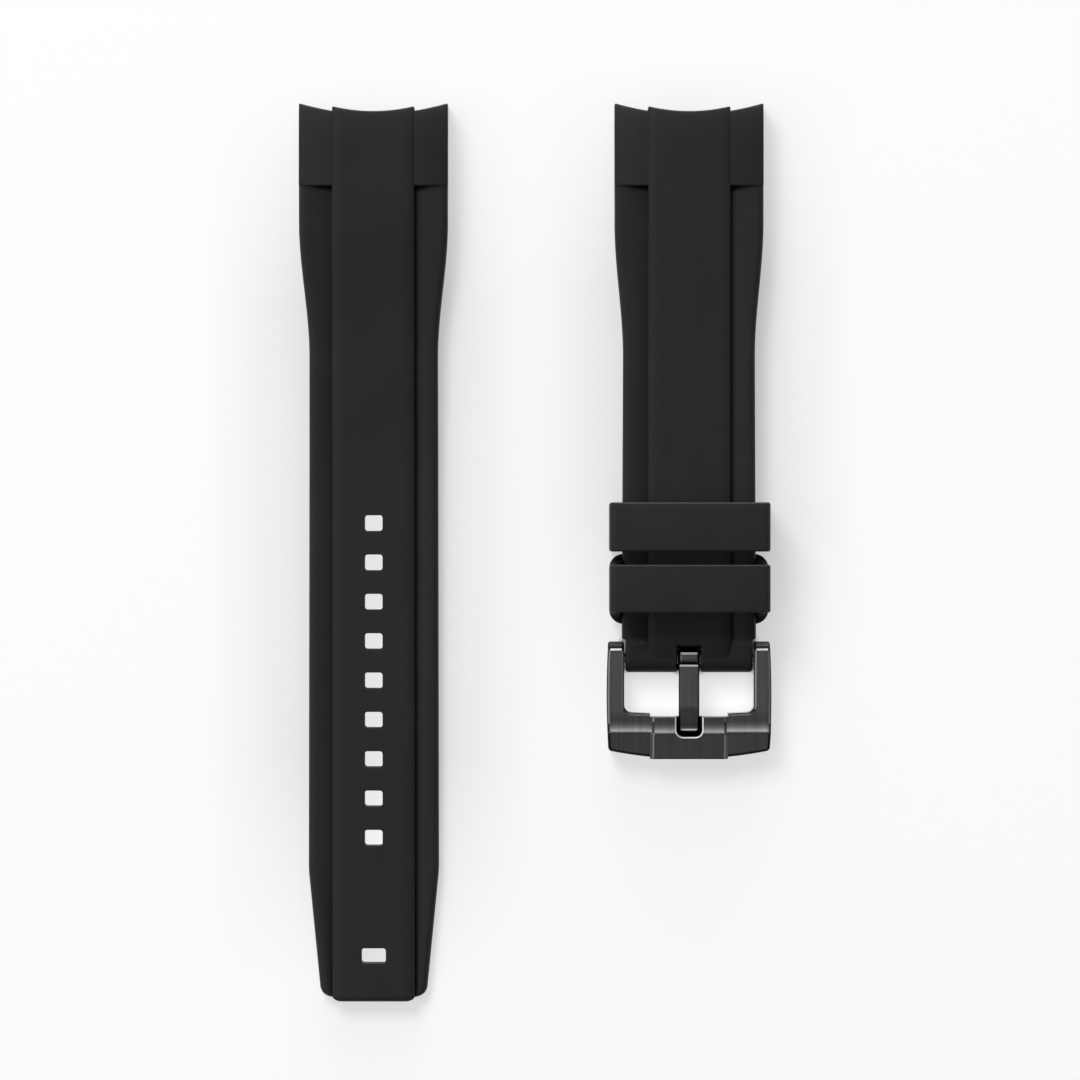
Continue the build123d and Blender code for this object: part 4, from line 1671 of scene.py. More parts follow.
@dataclass
class Keeper:
    """What the two keepers share: the opening and the rounded outer section."""

    places: Places
    width: float = 21.45
    inner_half: float = 9.15
    inner_top: float = 9.45
    top_thickness: float = 1.35
    outer_radius: float = 0.9
    inner_radius: float = 0.5
    corner_steps: int = 9

    @property
    def top(self) -> float:
        """The height of the keeper's top."""
        return self.inner_top + self.top_thickness

    def corner(self, inner_z: float, outer_z: float, up: float) -> list[LoopStation]:
        """A right-hand corner.

        Args:
            inner_z: the height of the opening's edge.
            outer_z: the height of the keeper's edge.
            up: 1 for the upper corner and -1 for the lower one.

        Returns:
            Its stations, from the wall to the bar above or below.
        """
        stations = []
        inner_run = corner_run(self.inner_radius, self.corner_steps)
        outer_run = corner_run(self.outer_radius, self.corner_steps)
        for (inner_left, inner_in), (outer_left, outer_in) in zip(inner_run, outer_run):
            inner = Vector((self.inner_half - inner_in, inner_z - up * inner_left))
            outer = Vector((self.width / 2 - outer_in, outer_z - up * outer_left))
            stations.append(LoopStation(inner, outer))
        return stations

    def ring(
        self, station: LoopStation, low_y: float, high_y: float, outer_r: float, inner_r: float
    ) -> list[Vector]:
        """The wall's own section, a rounded rectangle.

        Args:
            station: where the section is.
            low_y: where the wall starts along Y.
            high_y: where it ends.
            outer_r: its outer corners' radius.
            inner_r: its inner corners' radius.

        Returns:
            The section's points.
        """
        way = station.outer - station.inner
        depth = way.length
        outer_r = min(outer_r, depth - inner_r - HAIR)
        middle_y = (low_y + high_y) / 2
        placed = []
        for run, rise in rounded_rectangle(high_y - low_y, depth, inner_r, outer_r, 7):
            point = station.inner + way * ((rise + depth / 2) / depth)
            placed.append(Vector((self.places.head_x + point.x, middle_y + run, point.y)))
        return placed

    def both_sides(self, rings: list[list[Vector]]) -> list[list[Vector]]:
        """The right-hand rings, then their mirror images the other way round."""
        middle = self.places.head_x
        return rings + [[Vector((2 * middle - p.x, p.y, p.z)) for p in r] for r in rings[::-1]]


@dataclass
class FixedKeeper(Keeper):
    """The keeper that is moulded with the strap: a flared base, walls and a bar."""

    bar_length: float = 6.38
    base_length: float = 9.67
    base_corner: float = 1.95
    base_bottom: float = 1.5
    base_top: float = 2.95
    base_distance: float = 4.48
    bar_offset: float = 0.1
    root_half: float = 7.8            # how far the base reaches into the band
    root_top: float = 3.3
    flare_share: float = 0.6
    flare_turn: float = 0.995         # of the flare's quarter circle
    flare_skin: float = 0.1           # how far inside the wall the flare's painted shade starts
    bar_rim: float = 0.3
    wall_rim: float = 0.2
    foot_rim: float = 0.35
    wall_step: float = 0.3

    def lengths(self, z: float) -> tuple[float, float, float]:
        """The wall at a height.

        Args:
            z: the height.

        Returns:
            Where the wall starts and ends along Y, and its outer corners' radius.
        """
        base_low = self.places.bar.y + self.base_distance
        base_high = base_low + self.base_length
        bar_low = (base_low + base_high) / 2 + self.bar_offset - self.bar_length / 2
        bar_high = bar_low + self.bar_length
        flare_top = blend(self.base_top, self.inner_top, self.flare_share)
        share = clamp((flare_top - z) / (flare_top - self.base_top))
        flare = 1 - math.sqrt(1 - min(share * share, self.flare_turn))
        low = blend(bar_low, base_low, flare)
        high = blend(bar_high, base_high, flare)
        return low, high, blend(self.bar_rim, self.base_corner, ease(0.0, 1.0, share))

    def build(self) -> Piece:
        """Make the loop, open below, where the band closes it.

        Returns:
            The keeper.
        """
        half, step = self.width / 2, self.wall_step
        bottom, root = self.base_bottom, self.root_half
        foot = corner_run(self.foot_rim, 4)
        walls = [(bottom + drawn, root, half - left) for left, drawn in foot]
        walls += [(z, root, half) for z in spaced(bottom + self.foot_rim, self.root_top, step)[1:]]
        for z in spaced(self.root_top + HAIR, self.inner_top - self.inner_radius, step):
            walls.append((min(z, self.top - self.outer_radius), self.inner_half, half))
        stations = [LoopStation(Vector((i, z)), Vector((o, z))) for z, i, o in walls]
        stations += self.corner(self.inner_top, self.top, 1)
        rings = []
        for station in stations:
            low, high, corner = self.lengths(station.outer.y)
            rings.append(self.ring(station, low, high, corner, self.wall_rim))
        return skin("fixed_keeper", self.both_sides(rings))

    def paint_shade_on_flares(self, strap: Piece) -> None:
        """Paint shade on the base where it flares past the bar: the second finish, a near-black
        rubber.

        Args:
            strap: the half that the keeper is part of.
        """
        low, high = self.lengths(self.top)[:2]
        wall = self.inner_half - self.flare_skin
        for face in strap.data.polygons:
            across = abs(face.center.x - self.places.head_x)
            along = abs(face.center.y - (low + high) / 2) - (high - low) / 2
            if across > wall and HAIR < along < self.base_length / 4:
                face.material_index = 1


@dataclass
class FreeKeeper(Keeper):
    """The keeper that slides on the strap."""

    finishes: Finishes | None = None
    inner_half: float = 9.32
    inner_bottom: float = 1.3
    rim: float = 0.36
    inner_rim: float = 0.16
    crease_angle: float = 40.0

    def build(self) -> Piece:
        """Make the loop.

        Returns:
            The keeper, dressed.
        """
        low, high = Places.box("free_keeper")
        middle_z = (self.top + low.z) / 2
        lower = self.corner(self.inner_bottom, low.z, -1)[::-1]
        side = LoopStation(Vector((self.inner_half, middle_z)), Vector((self.width / 2, middle_z)))
        right = [*lower, side, *self.corner(self.inner_top, self.top, 1)]
        rings = [self.ring(s, low.y, high.y, self.rim, self.inner_rim) for s in right]
        keeper = skin("sliding_keeper", self.both_sides(rings), closed=True)
        smooth(keeper, self.crease_angle)
        dress(keeper, self.finishes.rubber)
        settle(keeper, "free_keeper", ("free_keeper",))
        return keeper


@dataclass(frozen=True)
class EdgeRing:
    """One ring of a worked edge: how far in and down it lies, and its finish."""

    inset: float
    drop: float
    finish: int = 0


def arc_points(start: Vector, middle: Vector, end: Vector, steps: int) -> list[Vector]:
    """Points along the circle through three points.

    Args:
        start: where the arc starts.
        middle: a point that it passes through.
        end: where it ends.
        steps: how many steps it has.

    Returns:
        Its points without either end.
    """
    to_middle = middle - start
    to_end = end - start
    cross = 2 * (to_middle.x * to_end.y - to_middle.y * to_end.x)
    across = to_end.y * to_middle.length_squared - to_middle.y * to_end.length_squared
    along = to_middle.x * to_end.length_squared - to_end.x * to_middle.length_squared
    centre = start + Vector((across, along)) / cross
    spoke = start - centre
    turn = spoke.angle_signed(end - centre)
    if (spoke.angle_signed(middle - centre) > 0) != (turn > 0):
        turn -= math.copysign(2 * math.pi, turn)
    return [centre + Matrix.Rotation(-turn * i / steps, 2) @ spoke for i in range(1, steps)]


def inset_corners(corners: Corners, inset: float) -> Corners:
    """The outline that lies further in.

    Args:
        corners: each corner with its radius, anticlockwise.
        inset: how far in.

    Returns:
        As many corners, however small they get.
    """
    moved: Corners = []
    for i, (here, radius) in enumerate(corners):
        first = (here - corners[i - 1][0]).normalized()
        second = (corners[(i + 1) % len(corners)][0] - here).normalized()
        inwards = Vector((-first.y - second.y, first.x + second.x))
        if radius > 0 and first.cross(second) > 0:
            radius = max(radius - inset, HAIR)
        elif radius > 0:
            radius += inset
        moved.append((here + inwards * (inset / (1 + first.dot(second))), radius))
    return moved


def rounded_corners(corners: Corners, steps: int = 7) -> Outline:
    """A closed outline with its corners rounded.

    Args:
        corners: each corner with its radius, 0 for a point of a curve.
        steps: how many steps each rounded corner has.

    Returns:
        The outline's points.
    """
    made: Outline = []
    for i, (here, radius) in enumerate(corners):
        if radius == 0:
            made.append((here.x, here.y))
            continue
        back = (corners[i - 1][0] - here).normalized()
        ahead = (corners[(i + 1) % len(corners)][0] - here).normalized()
        half_turn = back.angle(ahead) / 2
        run = radius / math.tan(half_turn)
        centre = here + (back + ahead).normalized() * (radius / math.sin(half_turn))
        first = here + back * run - centre
        turn = first.angle_signed(here + ahead * run - centre)
        for j in range(steps + 1):
            point = centre + Matrix.Rotation(-turn * j / steps, 2) @ first
            made.append((point.x, point.y))
    return made


@dataclass
class MilledPiece:
    """A steel piece cut to a plan, whose top and underside follow the way along Y.

    The plan's corners run anticlockwise, seen from above.
    """

    corners: Corners
    top: Callable[[float], float]
    low: Callable[[float], float]
    top_rings: tuple[EdgeRing, ...]
    low_rings: tuple[EdgeRing, ...]
    levels: list[float]
    low_finish: int = 0
    reach: float = 100.0              # the flat stage's half height
    flat_merge: float = 0.00002       # points of a flat loop this near are one

    def close(self, work: bmesh.types.BMesh, loop: list[bmesh.types.BMVert], finish: int) -> None:
        """Fill a loop with triangles.

        Args:
            work: the mesh in the making.
            loop: the loop's points.
            finish: the new faces' finish.
        """
        spots = [vertex.co.xy for vertex in loop]
        rim = [list(range(len(loop)))]
        faces, origins = delaunay_2d_cdt(spots, [], rim, 1, self.flat_merge)[2:4]
        for corners in faces:
            face = work.faces.new([loop[origins[i][0]] for i in corners])
            face.material_index = finish

    def height(self, point: Vector) -> float:
        """A stage height turned into the real one."""
        if point.z > 0:
            return self.top(point.y) - (self.reach - point.z)
        return self.low(point.y) + (point.z + self.reach)

    def build(self, name: str) -> Piece:
        """Make the piece, closed.

        Args:
            name: the object's name.

        Returns:
            The object, in millimetres, its faces numbered by finish.
        """
        work = bmesh.new()
        rings = [(r.inset, r.drop - self.reach, r.finish) for r in self.low_rings]
        rings += [(r.inset, self.reach - r.drop, r.finish) for r in self.top_rings]
        loops = []
        for inset, stage, finish in rings:
            points = rounded_corners(inset_corners(self.corners, inset))
            loops.append([work.verts.new((x, y, stage)) for x, y in points])
        for lower, upper, ring in zip(loops, loops[1:], rings[1:]):
            for i in range(len(lower)):
                k = (i + 1) % len(lower)
                face = work.faces.new((lower[i], lower[k], upper[k], upper[i]))
                face.material_index = ring[2]
        self.close(work, loops[0], self.low_finish)
        self.close(work, loops[-1], 0)
        bmesh.ops.recalc_face_normals(work, faces=work.faces)
        for level in self.levels:
            everything = work.verts[:] + work.edges[:] + work.faces[:]
            plane = {"plane_co": (0, level, 0), "plane_no": (0, 1, 0)}
            bmesh.ops.bisect_plane(work, geom=everything, dist=MERGE, **plane)
        for vertex in work.verts:
            vertex.co.z = self.height(vertex.co)
        return finish_mesh(name, work)


class Finish(IntEnum):
    """The numbered finishes of the buckle's faces."""

    BRUSHED = 0
    POLISHED = 1
    BLASTED = 2
    # painted shade: near-black matt, on outer edge roundings, the notch, the barrel's ends and the
    # toe's facets
    PAINTED_SHADE = 3
    # painted highlight: near-white, on the bright lines of the bevels, the barrel and the tongue's
    # ends
    PAINTED_HIGHLIGHT = 4


@dataclass
class BuckleSteel:
    """What the frame and the tongue share: edges, finishes and the bar's place.

    A distance is measured in front of the spring bar, so it is negative behind it.
    """

    places: Places
    finishes: Finishes
    facet_start: float = 0.13         # how far in a polished facet starts
    facet_end: float = 0.35
    facet_drop: float = 0.16
    edge_drop: float = 0.38
    edge_in: float = 0.4              # the rounding's middle: its share of the run
    edge_down: float = 0.7            # and of the drop
    foot_edge: float = 0.14
    crease_angle: float = 16.0

    def rings(self) -> tuple[EdgeRing, ...]:
        """A worked edge: a rounding painted dark as shade, then a polished facet.

        Returns:
            Its rings, from the wall up.
        """
        middle = (self.facet_start * self.edge_in, self.edge_drop * self.edge_down)
        return (
            EdgeRing(0.0, self.edge_drop, Finish.BRUSHED),
            EdgeRing(*middle, Finish.PAINTED_SHADE),
            EdgeRing(self.facet_start, self.facet_drop, Finish.PAINTED_SHADE),
            EdgeRing(self.facet_end, 0.0, Finish.POLISHED),
        )

    def foot_rings(self) -> tuple[EdgeRing, ...]:
        """The edge below, from the underside up."""
        return (EdgeRing(self.foot_edge, 0.0), EdgeRing(0.0, self.foot_edge))

    def placed(self, distance: float) -> float:
        """The Y of a place by its distance in front of the spring bar."""
        return self.places.bar.y - distance

    def in_front(self, y: float) -> float:
        """How far a Y lies in front of the spring bar."""
        return self.places.bar.y - y

    def at(self, x: float, distance: float) -> Vector:
        """A point of a plan: across from the middle, and in front of the bar."""
        return Vector((self.places.head_x + x, self.placed(distance)))

    def finish(self, piece: Piece, node: str) -> None:
        """Dress a piece and put it in its node's place.

        Args:
            piece: the piece, its faces numbered by finish.
            node: the node and the body that it stands for.
        """
        tidy_mesh(piece.data)
        smooth(piece, self.crease_angle)
        done = self.finishes
        dress(piece, done.brushed, done.polished, done.blasted, done.painted_shade, done.painted_highlight)
        settle(piece, node, (node,))


@dataclass
class BuckleFrame(BuckleSteel):
    """The frame: two arms, a ridged crossbar, its raised middle and the notch."""

    inner_width: float = 17.42
    end_arm: float = 2.14
    waist_arm: float = 2.33
    base_arm: float = 2.12
    arm_half_height: float = 1.9
    end_radius: float = 2.25
    end_wall: float = 0.40            # half the height of an arm's end wall
    end_corner: float = 0.32
    line_back: float = 1.33           # behind the bar, where the end's sloping line, painted as a highlight, is
    line_run: float = 0.26
    line_drop: float = 0.15
    waist_distance: float = 7.2
    inner_distance: float = 7.2
    inner_sag: float = 0.3
    outer_distance: float = 12.38
    inner_corner: float = 1.0
    outer_corner: float = 0.55
    ramp_start: float = 7.0
    ramp_first_slope: float = 0.10
    crest_distance: float = 9.96
    crest_height: float = 5.6
    crest_round: float = 0.09         # the crest's rounded run on its inner side
    crest_fade: float = 0.27          # and on its outer side
    toe_distance: float = 13.5
    toe_height: float = 3.55
    foot_start: float = 4.0
    foot_end: float = 7.4
    plate_half: float = 4.8
    plate_side_run: float = 0.45
    plate_rise: float = 0.25
    plate_start: float = 7.82
    plate_end: float = 13.54
    plate_corner: float = 0.12
    plate_facet: float = 0.12
    plate_facet_share: float = 0.7    # of the facet's run, how far down it starts
    plate_foot: float = 0.3
    plate_lag: float = 0.15           # how far its crest lies in front of the bar's
    plate_sink: float = 0.03
    end_steps: int = 10
    ramp_step: float = 0.2
    crest_step: float = 0.03
    relief_depth: float = 0.1
    relief_low: float = -1.0
    relief_high: float = 8.0
    notch_width: float = 3.5
    notch_end: float = 10.52
    notch_corner: float = 0.95
    notch_floor: float = 2.06
    notch_chamfer: float = 0.2
    notch_chamfer_share: float = 0.8  # of the chamfer's run, how deep it is
    notch_reach: float = 1.0          # how far the cutter stands over the top
    hole_radius: float = 0.5
    hole_length: float = 20.32
    back_turn: float = 0.3            # a facet that faces the strap more is blasted
    front_turn: float = -0.5          # and one that faces the front more is painted dark as shade

    @property
    def arm_top(self) -> float:
        """The height of the arms' flat tops."""
        return self.places.bar.z + self.arm_half_height

    @property
    def plate_base(self) -> float:
        """Half the raised middle's width where it meets the crossbar."""
        return self.plate_half + self.plate_side_run

    def end_half_height(self, distance: float) -> float:
        """An arm behind the bar: level, a sloping line, a rounded end.

        Args:
            distance: in front of the bar.

        Returns:
            Half the arm's height there.
        """
        behind = -distance - self.line_back
        high = self.arm_half_height - self.line_drop
        if behind < 0:
            return high + self.line_drop * clamp(-behind / self.line_run)
        share = clamp(behind / (self.end_radius - self.line_back))
        return blend(self.end_wall, high, math.sqrt(1 - share * share))

    def ridge(self, distance: float) -> float:
        """The crossbar's top with a sharp crest.

        Args:
            distance: in front of the bar.

        Returns:
            Its height there.
        """
        if distance > self.crest_distance:
            share = (distance - self.crest_distance) / (self.toe_distance - self.crest_distance)
            return blend(self.crest_height, self.toe_height, share)
        run = max(distance - self.ramp_start, 0.0)
        whole = self.crest_distance - self.ramp_start
        rise = self.crest_height - self.arm_top
        bend = (rise - self.ramp_first_slope * whole) / whole**2
        return self.arm_top + self.ramp_first_slope * run + bend * run * run

    def top(self, y: float) -> float:
        """The frame's top along the way.

        Args:
            y: the place.

        Returns:
            Its height there, with the crest rounded.
        """
        distance = self.in_front(y)
        if distance < 0:
            return self.places.bar.z + self.end_half_height(distance)
        start = self.crest_distance - self.crest_round
        end = self.crest_distance + self.crest_fade
        if not start < distance < end:
            return self.ridge(distance)
        near, peak, far = self.ridge(start), self.crest_height, self.ridge(end)
        share = self.crest_share((distance - start) / (end - start))
        return near * (1 - share) ** 2 + 2 * share * (1 - share) * peak + far * share**2

    def crest_share(self, run: float) -> float:
        """The place on the crest's curve that lies run, from 0 to 1, across it."""
        middle = self.crest_round / (self.crest_round + self.crest_fade)
        return (math.sqrt(middle**2 + (1 - 2 * middle) * run) - middle) / (1 - 2 * middle)

    def low(self, y: float) -> float:
        """The frame's underside along the way.

        Args:
            y: the place.

        Returns:
            Its height there.
        """
        distance = self.in_front(y)
        if distance < 0:
            return self.places.bar.z - self.end_half_height(distance)
        share = (distance - self.foot_start) / (self.foot_end - self.foot_start)
        return blend(self.places.bar.z - self.arm_half_height, 0.0, clamp(share))

    def plate_top(self, y: float) -> float:
        """The raised middle's top along the way."""
        return self.top(y + self.plate_lag) + self.plate_rise

    def levels(self, lag: float = 0.0) -> list[float]:
        """The places at which the top or the underside bends.

        Args:
            lag: how much further in front they lie.

        Returns:
            Their Ys.
        """
        run = self.end_radius - self.line_back
        made = [-self.line_back - run * math.sin(angle) for angle in quarter(self.end_steps)[:-1]]
        made += [self.line_run - self.line_back, self.foot_start, self.foot_end, self.ramp_start]
        start = self.crest_distance - self.crest_round
        made += spaced(self.ramp_start, start, self.ramp_step)[1:]
        made += spaced(start, self.crest_distance + self.crest_fade, self.crest_step)[1:]
        return [self.placed(distance) - lag for distance in made]

    def outline(self) -> Corners:
        """The frame's plan.

        Returns:
            Its corners, from the right-hand arm's inner one.
        """
        inner = self.inner_width / 2
        end, waist, base = -self.end_radius, self.waist_distance, self.outer_distance
        at_end, at_waist, at_base = inner + self.end_arm, inner + self.waist_arm, inner + self.base_arm
        sag = self.inner_distance + self.inner_sag
        # Each stop: across, in front, its radius, and the middle and steps of an arc from it.
        stops = (
            (inner, end, self.end_corner, None),
            (inner, self.inner_distance, self.inner_corner, (0, sag, 12)),
            (-inner, self.inner_distance, self.inner_corner, None),
            (-inner, end, self.end_corner, None),
            (-at_end, end, self.end_corner, (-at_waist, waist, 12)),
            (-at_base, base, self.outer_corner, (0, self.toe_distance, 16)),
            (at_base, base, self.outer_corner, (at_waist, waist, 12)),
            (at_end, end, self.end_corner, None),
        )
        corners: Corners = []
        for i, (x, distance, radius, arc) in enumerate(stops):
            corners.append((self.at(x, distance), radius))
            if arc:
                following = self.at(*stops[i + 1][:2])
                points = arc_points(self.at(x, distance), self.at(*arc[:2]), following, arc[2])
                corners += [(point, 0.0) for point in points]
        return corners

    def relief(self) -> Piece:
        """Make a cutter for the bar's inner edge below the raised middle.

        Returns:
            The cutter.
        """
        start = self.inner_distance - self.inner_corner
        end = self.plate_start + self.relief_depth
        middle = self.at(0, (start + end) / 2)
        plan = rounded_rectangle(self.plate_base * 2, end - start, HAIR, HAIR, 1)
        heights = (self.relief_low, self.relief_high)
        return skin("relief", [[Vector((*(middle + Vector(p)), z)) for p in plan] for z in heights])

    def plate(self) -> Piece:
        """Make the raised middle with its slanting sides.

        Returns:
            The raised middle.
        """
        half = self.plate_base
        sides = [(-half, self.plate_end), (half, self.plate_end)]
        sides += [(half, self.plate_start), (-half, self.plate_start)]
        milled = MilledPiece(
            [(self.at(x, distance), self.plate_corner) for x, distance in sides],
            self.plate_top,
            lambda y: self.low(y) + self.plate_sink,
            (
                EdgeRing(0.0, self.plate_rise + self.plate_sink),
                EdgeRing(0.0, self.plate_facet * self.plate_facet_share),
                EdgeRing(self.plate_facet, 0.0, Finish.POLISHED),
            ),
            (EdgeRing(self.plate_foot, 0.0), EdgeRing(0.0, self.plate_foot)),
            self.levels(self.plate_lag),
        )
        piece = milled.build("plate")
        self.slant(piece)
        return piece

    def slant(self, plate: Piece) -> None:
        """Draw the plate's upper rings in, so that its sides slant.

        Args:
            plate: the raised middle.
        """
        for vertex in plate.data.vertices:
            surface = self.plate_top(vertex.co.y) - self.plate_rise
            share = clamp((vertex.co.z - surface + self.plate_sink) / self.plate_rise)
            across = (vertex.co.x - self.places.head_x) / self.plate_base
            vertex.co.x -= across * self.plate_side_run * share

    def notch(self) -> Piece:
        """Make a cutter for the tongue's seat, with a chamfered rim: its walls and floor are painted
        dark as shade, and its chamfer is painted as a highlight.

        Returns:
            The cutter.
        """
        half, chamfer = self.notch_width / 2, self.notch_chamfer
        start, end, corner = self.inner_distance - chamfer * 4, self.notch_end, self.notch_corner
        plan = ((-half, start, 0.0), (-half, end, corner), (half, end, corner), (half, start, 0.0))
        milled = MilledPiece(
            [(self.at(x, distance), radius) for x, distance, radius in plan],
            self.plate_top,
            lambda y: self.notch_floor,
            (
                EdgeRing(0.0, chamfer * self.notch_chamfer_share, Finish.PAINTED_SHADE),
                EdgeRing(-chamfer, -HAIR, Finish.PAINTED_HIGHLIGHT),
                EdgeRing(-chamfer, -self.notch_reach, Finish.PAINTED_HIGHLIGHT),
            ),
            (EdgeRing(0.0, 0.0, Finish.PAINTED_SHADE),),
            self.levels(self.plate_lag),
            low_finish=Finish.PAINTED_SHADE,
        )
        return milled.build("notch")

    def mark_ends(self, frame: Piece) -> None:
        """Number the faces of the arms' blasted ends, and of the line across each arm, which is
        painted as a highlight.

        Args:
            frame: the frame, not yet worked.
        """
        end = self.placed(-self.line_back)
        line = self.placed(self.line_run - self.line_back)
        for face in frame.data.polygons:
            if face.center.y > end and face.material_index != Finish.PAINTED_SHADE:
                face.material_index = Finish.BLASTED
            elif face.center.y > line and face.material_index == Finish.BRUSHED:
                face.material_index = Finish.PAINTED_HIGHLIGHT

    def mark_facets(self, frame: Piece) -> None:
        """Dull the polished facets that don't catch the light: blasted where they face the strap,
        painted dark as shade in front of the crest beside the raised middle or facing the front.

        Args:
            frame: the frame, worked.
        """
        crest = self.placed(self.crest_distance)
        for face in frame.data.polygons:
            if face.material_index != Finish.POLISHED:
                continue
            beside = abs(face.center.x - self.places.head_x) > self.plate_base
            if face.normal.y > self.back_turn:
                face.material_index = Finish.BLASTED
            elif face.center.y < crest and (beside or face.normal.y < self.front_turn):
                face.material_index = Finish.PAINTED_SHADE

    def build(self) -> Piece:
        """Make the frame.

        Returns:
            The frame, dressed.
        """
        edges = (self.rings(), self.foot_rings(), self.levels())
        frame = MilledPiece(self.outline(), self.top, self.low, *edges).build("frame")
        self.mark_ends(frame)
        work_in(frame, self.relief(), Joining.DIFFERENCE)
        work_in(frame, self.plate(), Joining.UNION)
        work_in(frame, self.notch(), Joining.DIFFERENCE)
        holes = cross_bar("pin_holes", self.places.bar, self.hole_radius, self.hole_length)
        work_in(frame, holes, Joining.DIFFERENCE)
        self.mark_facets(frame)
        self.finish(frame, "buckle_frame")
        return frame


@dataclass
class BuckleTongue(BuckleSteel):
    """The tongue: a barrel round the spring bar and a blade that bows at its tip."""

    facet_start: float = 0.13
    facet_end: float = 0.24
    facet_drop: float = 0.09
    edge_drop: float = 0.42
    width: float = 2.77
    barrel_half: float = 1.45
    barrel_flat: float = 1.16
    barrel_radius: float = 1.25
    barrel_taper: float = 0.8         # the ends' share of the full section
    rim_run: float = 0.12
    rim_taper: float = 0.965
    flat_back: float = 0.52
    flat_front: float = 0.14
    flat_height: float = 1.27
    flat_lean: float = 0.03
    flat_bow: float = 0.6             # how far the flat has risen over the bar
    flat_reach: float = 0.8           # of the flat's height, above which it is polished or painted as a highlight
    back_round: float = 0.8           # of the way up to the line that stays round
    front_round: float = 0.85         # and of the way up to the flat
    line_run: float = 0.28
    line_drop: float = 0.125
    root_run: float = 0.36            # the slope across the blade's root, painted as a highlight
    root_drop: float = 0.16
    tip_run: float = 0.42
    bore_radius: float = 0.8
    start: float = 0.72
    rise: float = 1.75
    flat_length: float = 6.3
    length: float = 9.9
    tip_drop: float = 0.88
    bend_share: float = 0.16
    thickness: float = 1.4
    heel_depth: float = 1.1
    root_corner: float = 0.3
    tip_corner: float = 0.6
    top_turn: float = 0.5             # a face that looks up more than this is on top
    back_step: float = 0.2            # round the barrel, in radians
    round_step: float = 0.16
    bend_step: float = 0.16

    def bow(self, distance: float) -> float:
        """How far the blade has bent down: a straight slope between two short bends.

        Args:
            distance: in front of the bar.

        Returns:
            How far its top lies lower there.
        """
        length = self.length - self.tip_run - self.flat_length
        share = clamp((distance - self.flat_length) / length)
        bend = self.bend_share
        if share < bend:
            fallen = share * share / (2 * bend)
        elif share < 1 - bend:
            fallen = share - bend / 2
        else:
            fallen = 1 - bend - (1 - share) ** 2 / (2 * bend)
        return self.tip_drop * fallen / (1 - bend)

    def flat_top(self, distance: float) -> float:
        """The blade's top without the slope at its root."""
        return self.places.bar.z + self.rise - self.bow(distance)

    def top(self, y: float) -> float:
        """The blade's top along the way, with a slope at its root that is painted as a highlight."""
        root = clamp(1 - (self.in_front(y) - self.start) / self.root_run) * self.root_drop
        return self.flat_top(self.in_front(y)) - root

    def low(self, y: float) -> float:
        """The blade's underside, with its heel beside the barrel."""
        ends = (self.places.bar.z - self.heel_depth, self.flat_top(self.in_front(y)) - self.thickness)
        return blend(*ends, clamp((self.in_front(y) - self.start) / self.thickness))

    def barrel_outline(self) -> Outline:
        """The barrel's section: round below, with a line painted as a highlight and a flat above.

        Returns:
            Pairs of the way in front of the bar and the height over it, clockwise from
            the back.
        """
        radius, step = self.barrel_radius, self.back_step
        flat_start = (-self.flat_back, self.flat_height)
        flat_end = (self.flat_front, self.flat_height + self.flat_lean)
        line_start = (-self.flat_back - self.line_run, self.flat_height - self.line_drop)
        back = math.atan2(line_start[1], -line_start[0]) * self.back_round
        front = math.atan2(flat_end[1], flat_end[0]) * self.front_round
        made = [(-radius * math.cos(a), radius * math.sin(a)) for a in spaced(0.0, back, step)]
        over_bar = (0.0, blend(flat_start[1], flat_end[1], self.flat_bow))
        made += [line_start, flat_start, over_bar, flat_end]
        below = spaced(front, -math.pi, self.round_step)[:-1]
        return made + [(radius * math.cos(a), radius * math.sin(a)) for a in below]

    def barrel_finish(self, i: int, count: int, middle: Vector) -> Finish:
        """The finish of one of the barrel's faces.

        Args:
            i: which band along the bar it is in.
            count: how many bands there are.
            middle: the face's middle from the bar's.

        Returns:
            Its finish.
        """
        # the tapered ends are painted dark as shade
        if i in (0, count - 1):
            return Finish.PAINTED_SHADE
        if middle.z > self.flat_height * self.flat_reach:
            if middle.y > self.flat_back:
                return Finish.PAINTED_HIGHLIGHT
            if i != count // 2:
                return Finish.POLISHED
        return Finish.BRUSHED

    def barrel(self) -> Piece:
        """Make the barrel with its polished rims, and its tapered ends painted dark as shade.

        Returns:
            The barrel.
        """
        outline = self.barrel_outline()
        stations = [(self.barrel_half, self.barrel_taper), (self.barrel_flat, self.rim_taper)]
        stations += [(self.barrel_flat - self.rim_run, 1.0)]
        work = bmesh.new()
        loops = []
        for x, share in [(-x, share) for x, share in stations] + stations[::-1]:
            ring = [Vector((x, -run * share, rise * share)) for run, rise in outline]
            loops.append([work.verts.new(self.places.bar + point) for point in ring])
        for i, (near, far) in enumerate(zip(loops, loops[1:])):
            for j in range(len(near)):
                k = (j + 1) % len(near)
                face = work.faces.new((near[j], near[k], far[k], far[j]))
                middle = face.calc_center_median() - self.places.bar
                face.material_index = self.barrel_finish(i, len(loops) - 1, middle)
        for loop in (loops[0], loops[-1]):
            work.faces.new(loop).material_index = Finish.PAINTED_SHADE
        bmesh.ops.recalc_face_normals(work, faces=work.faces)
        return finish_mesh("barrel", work)

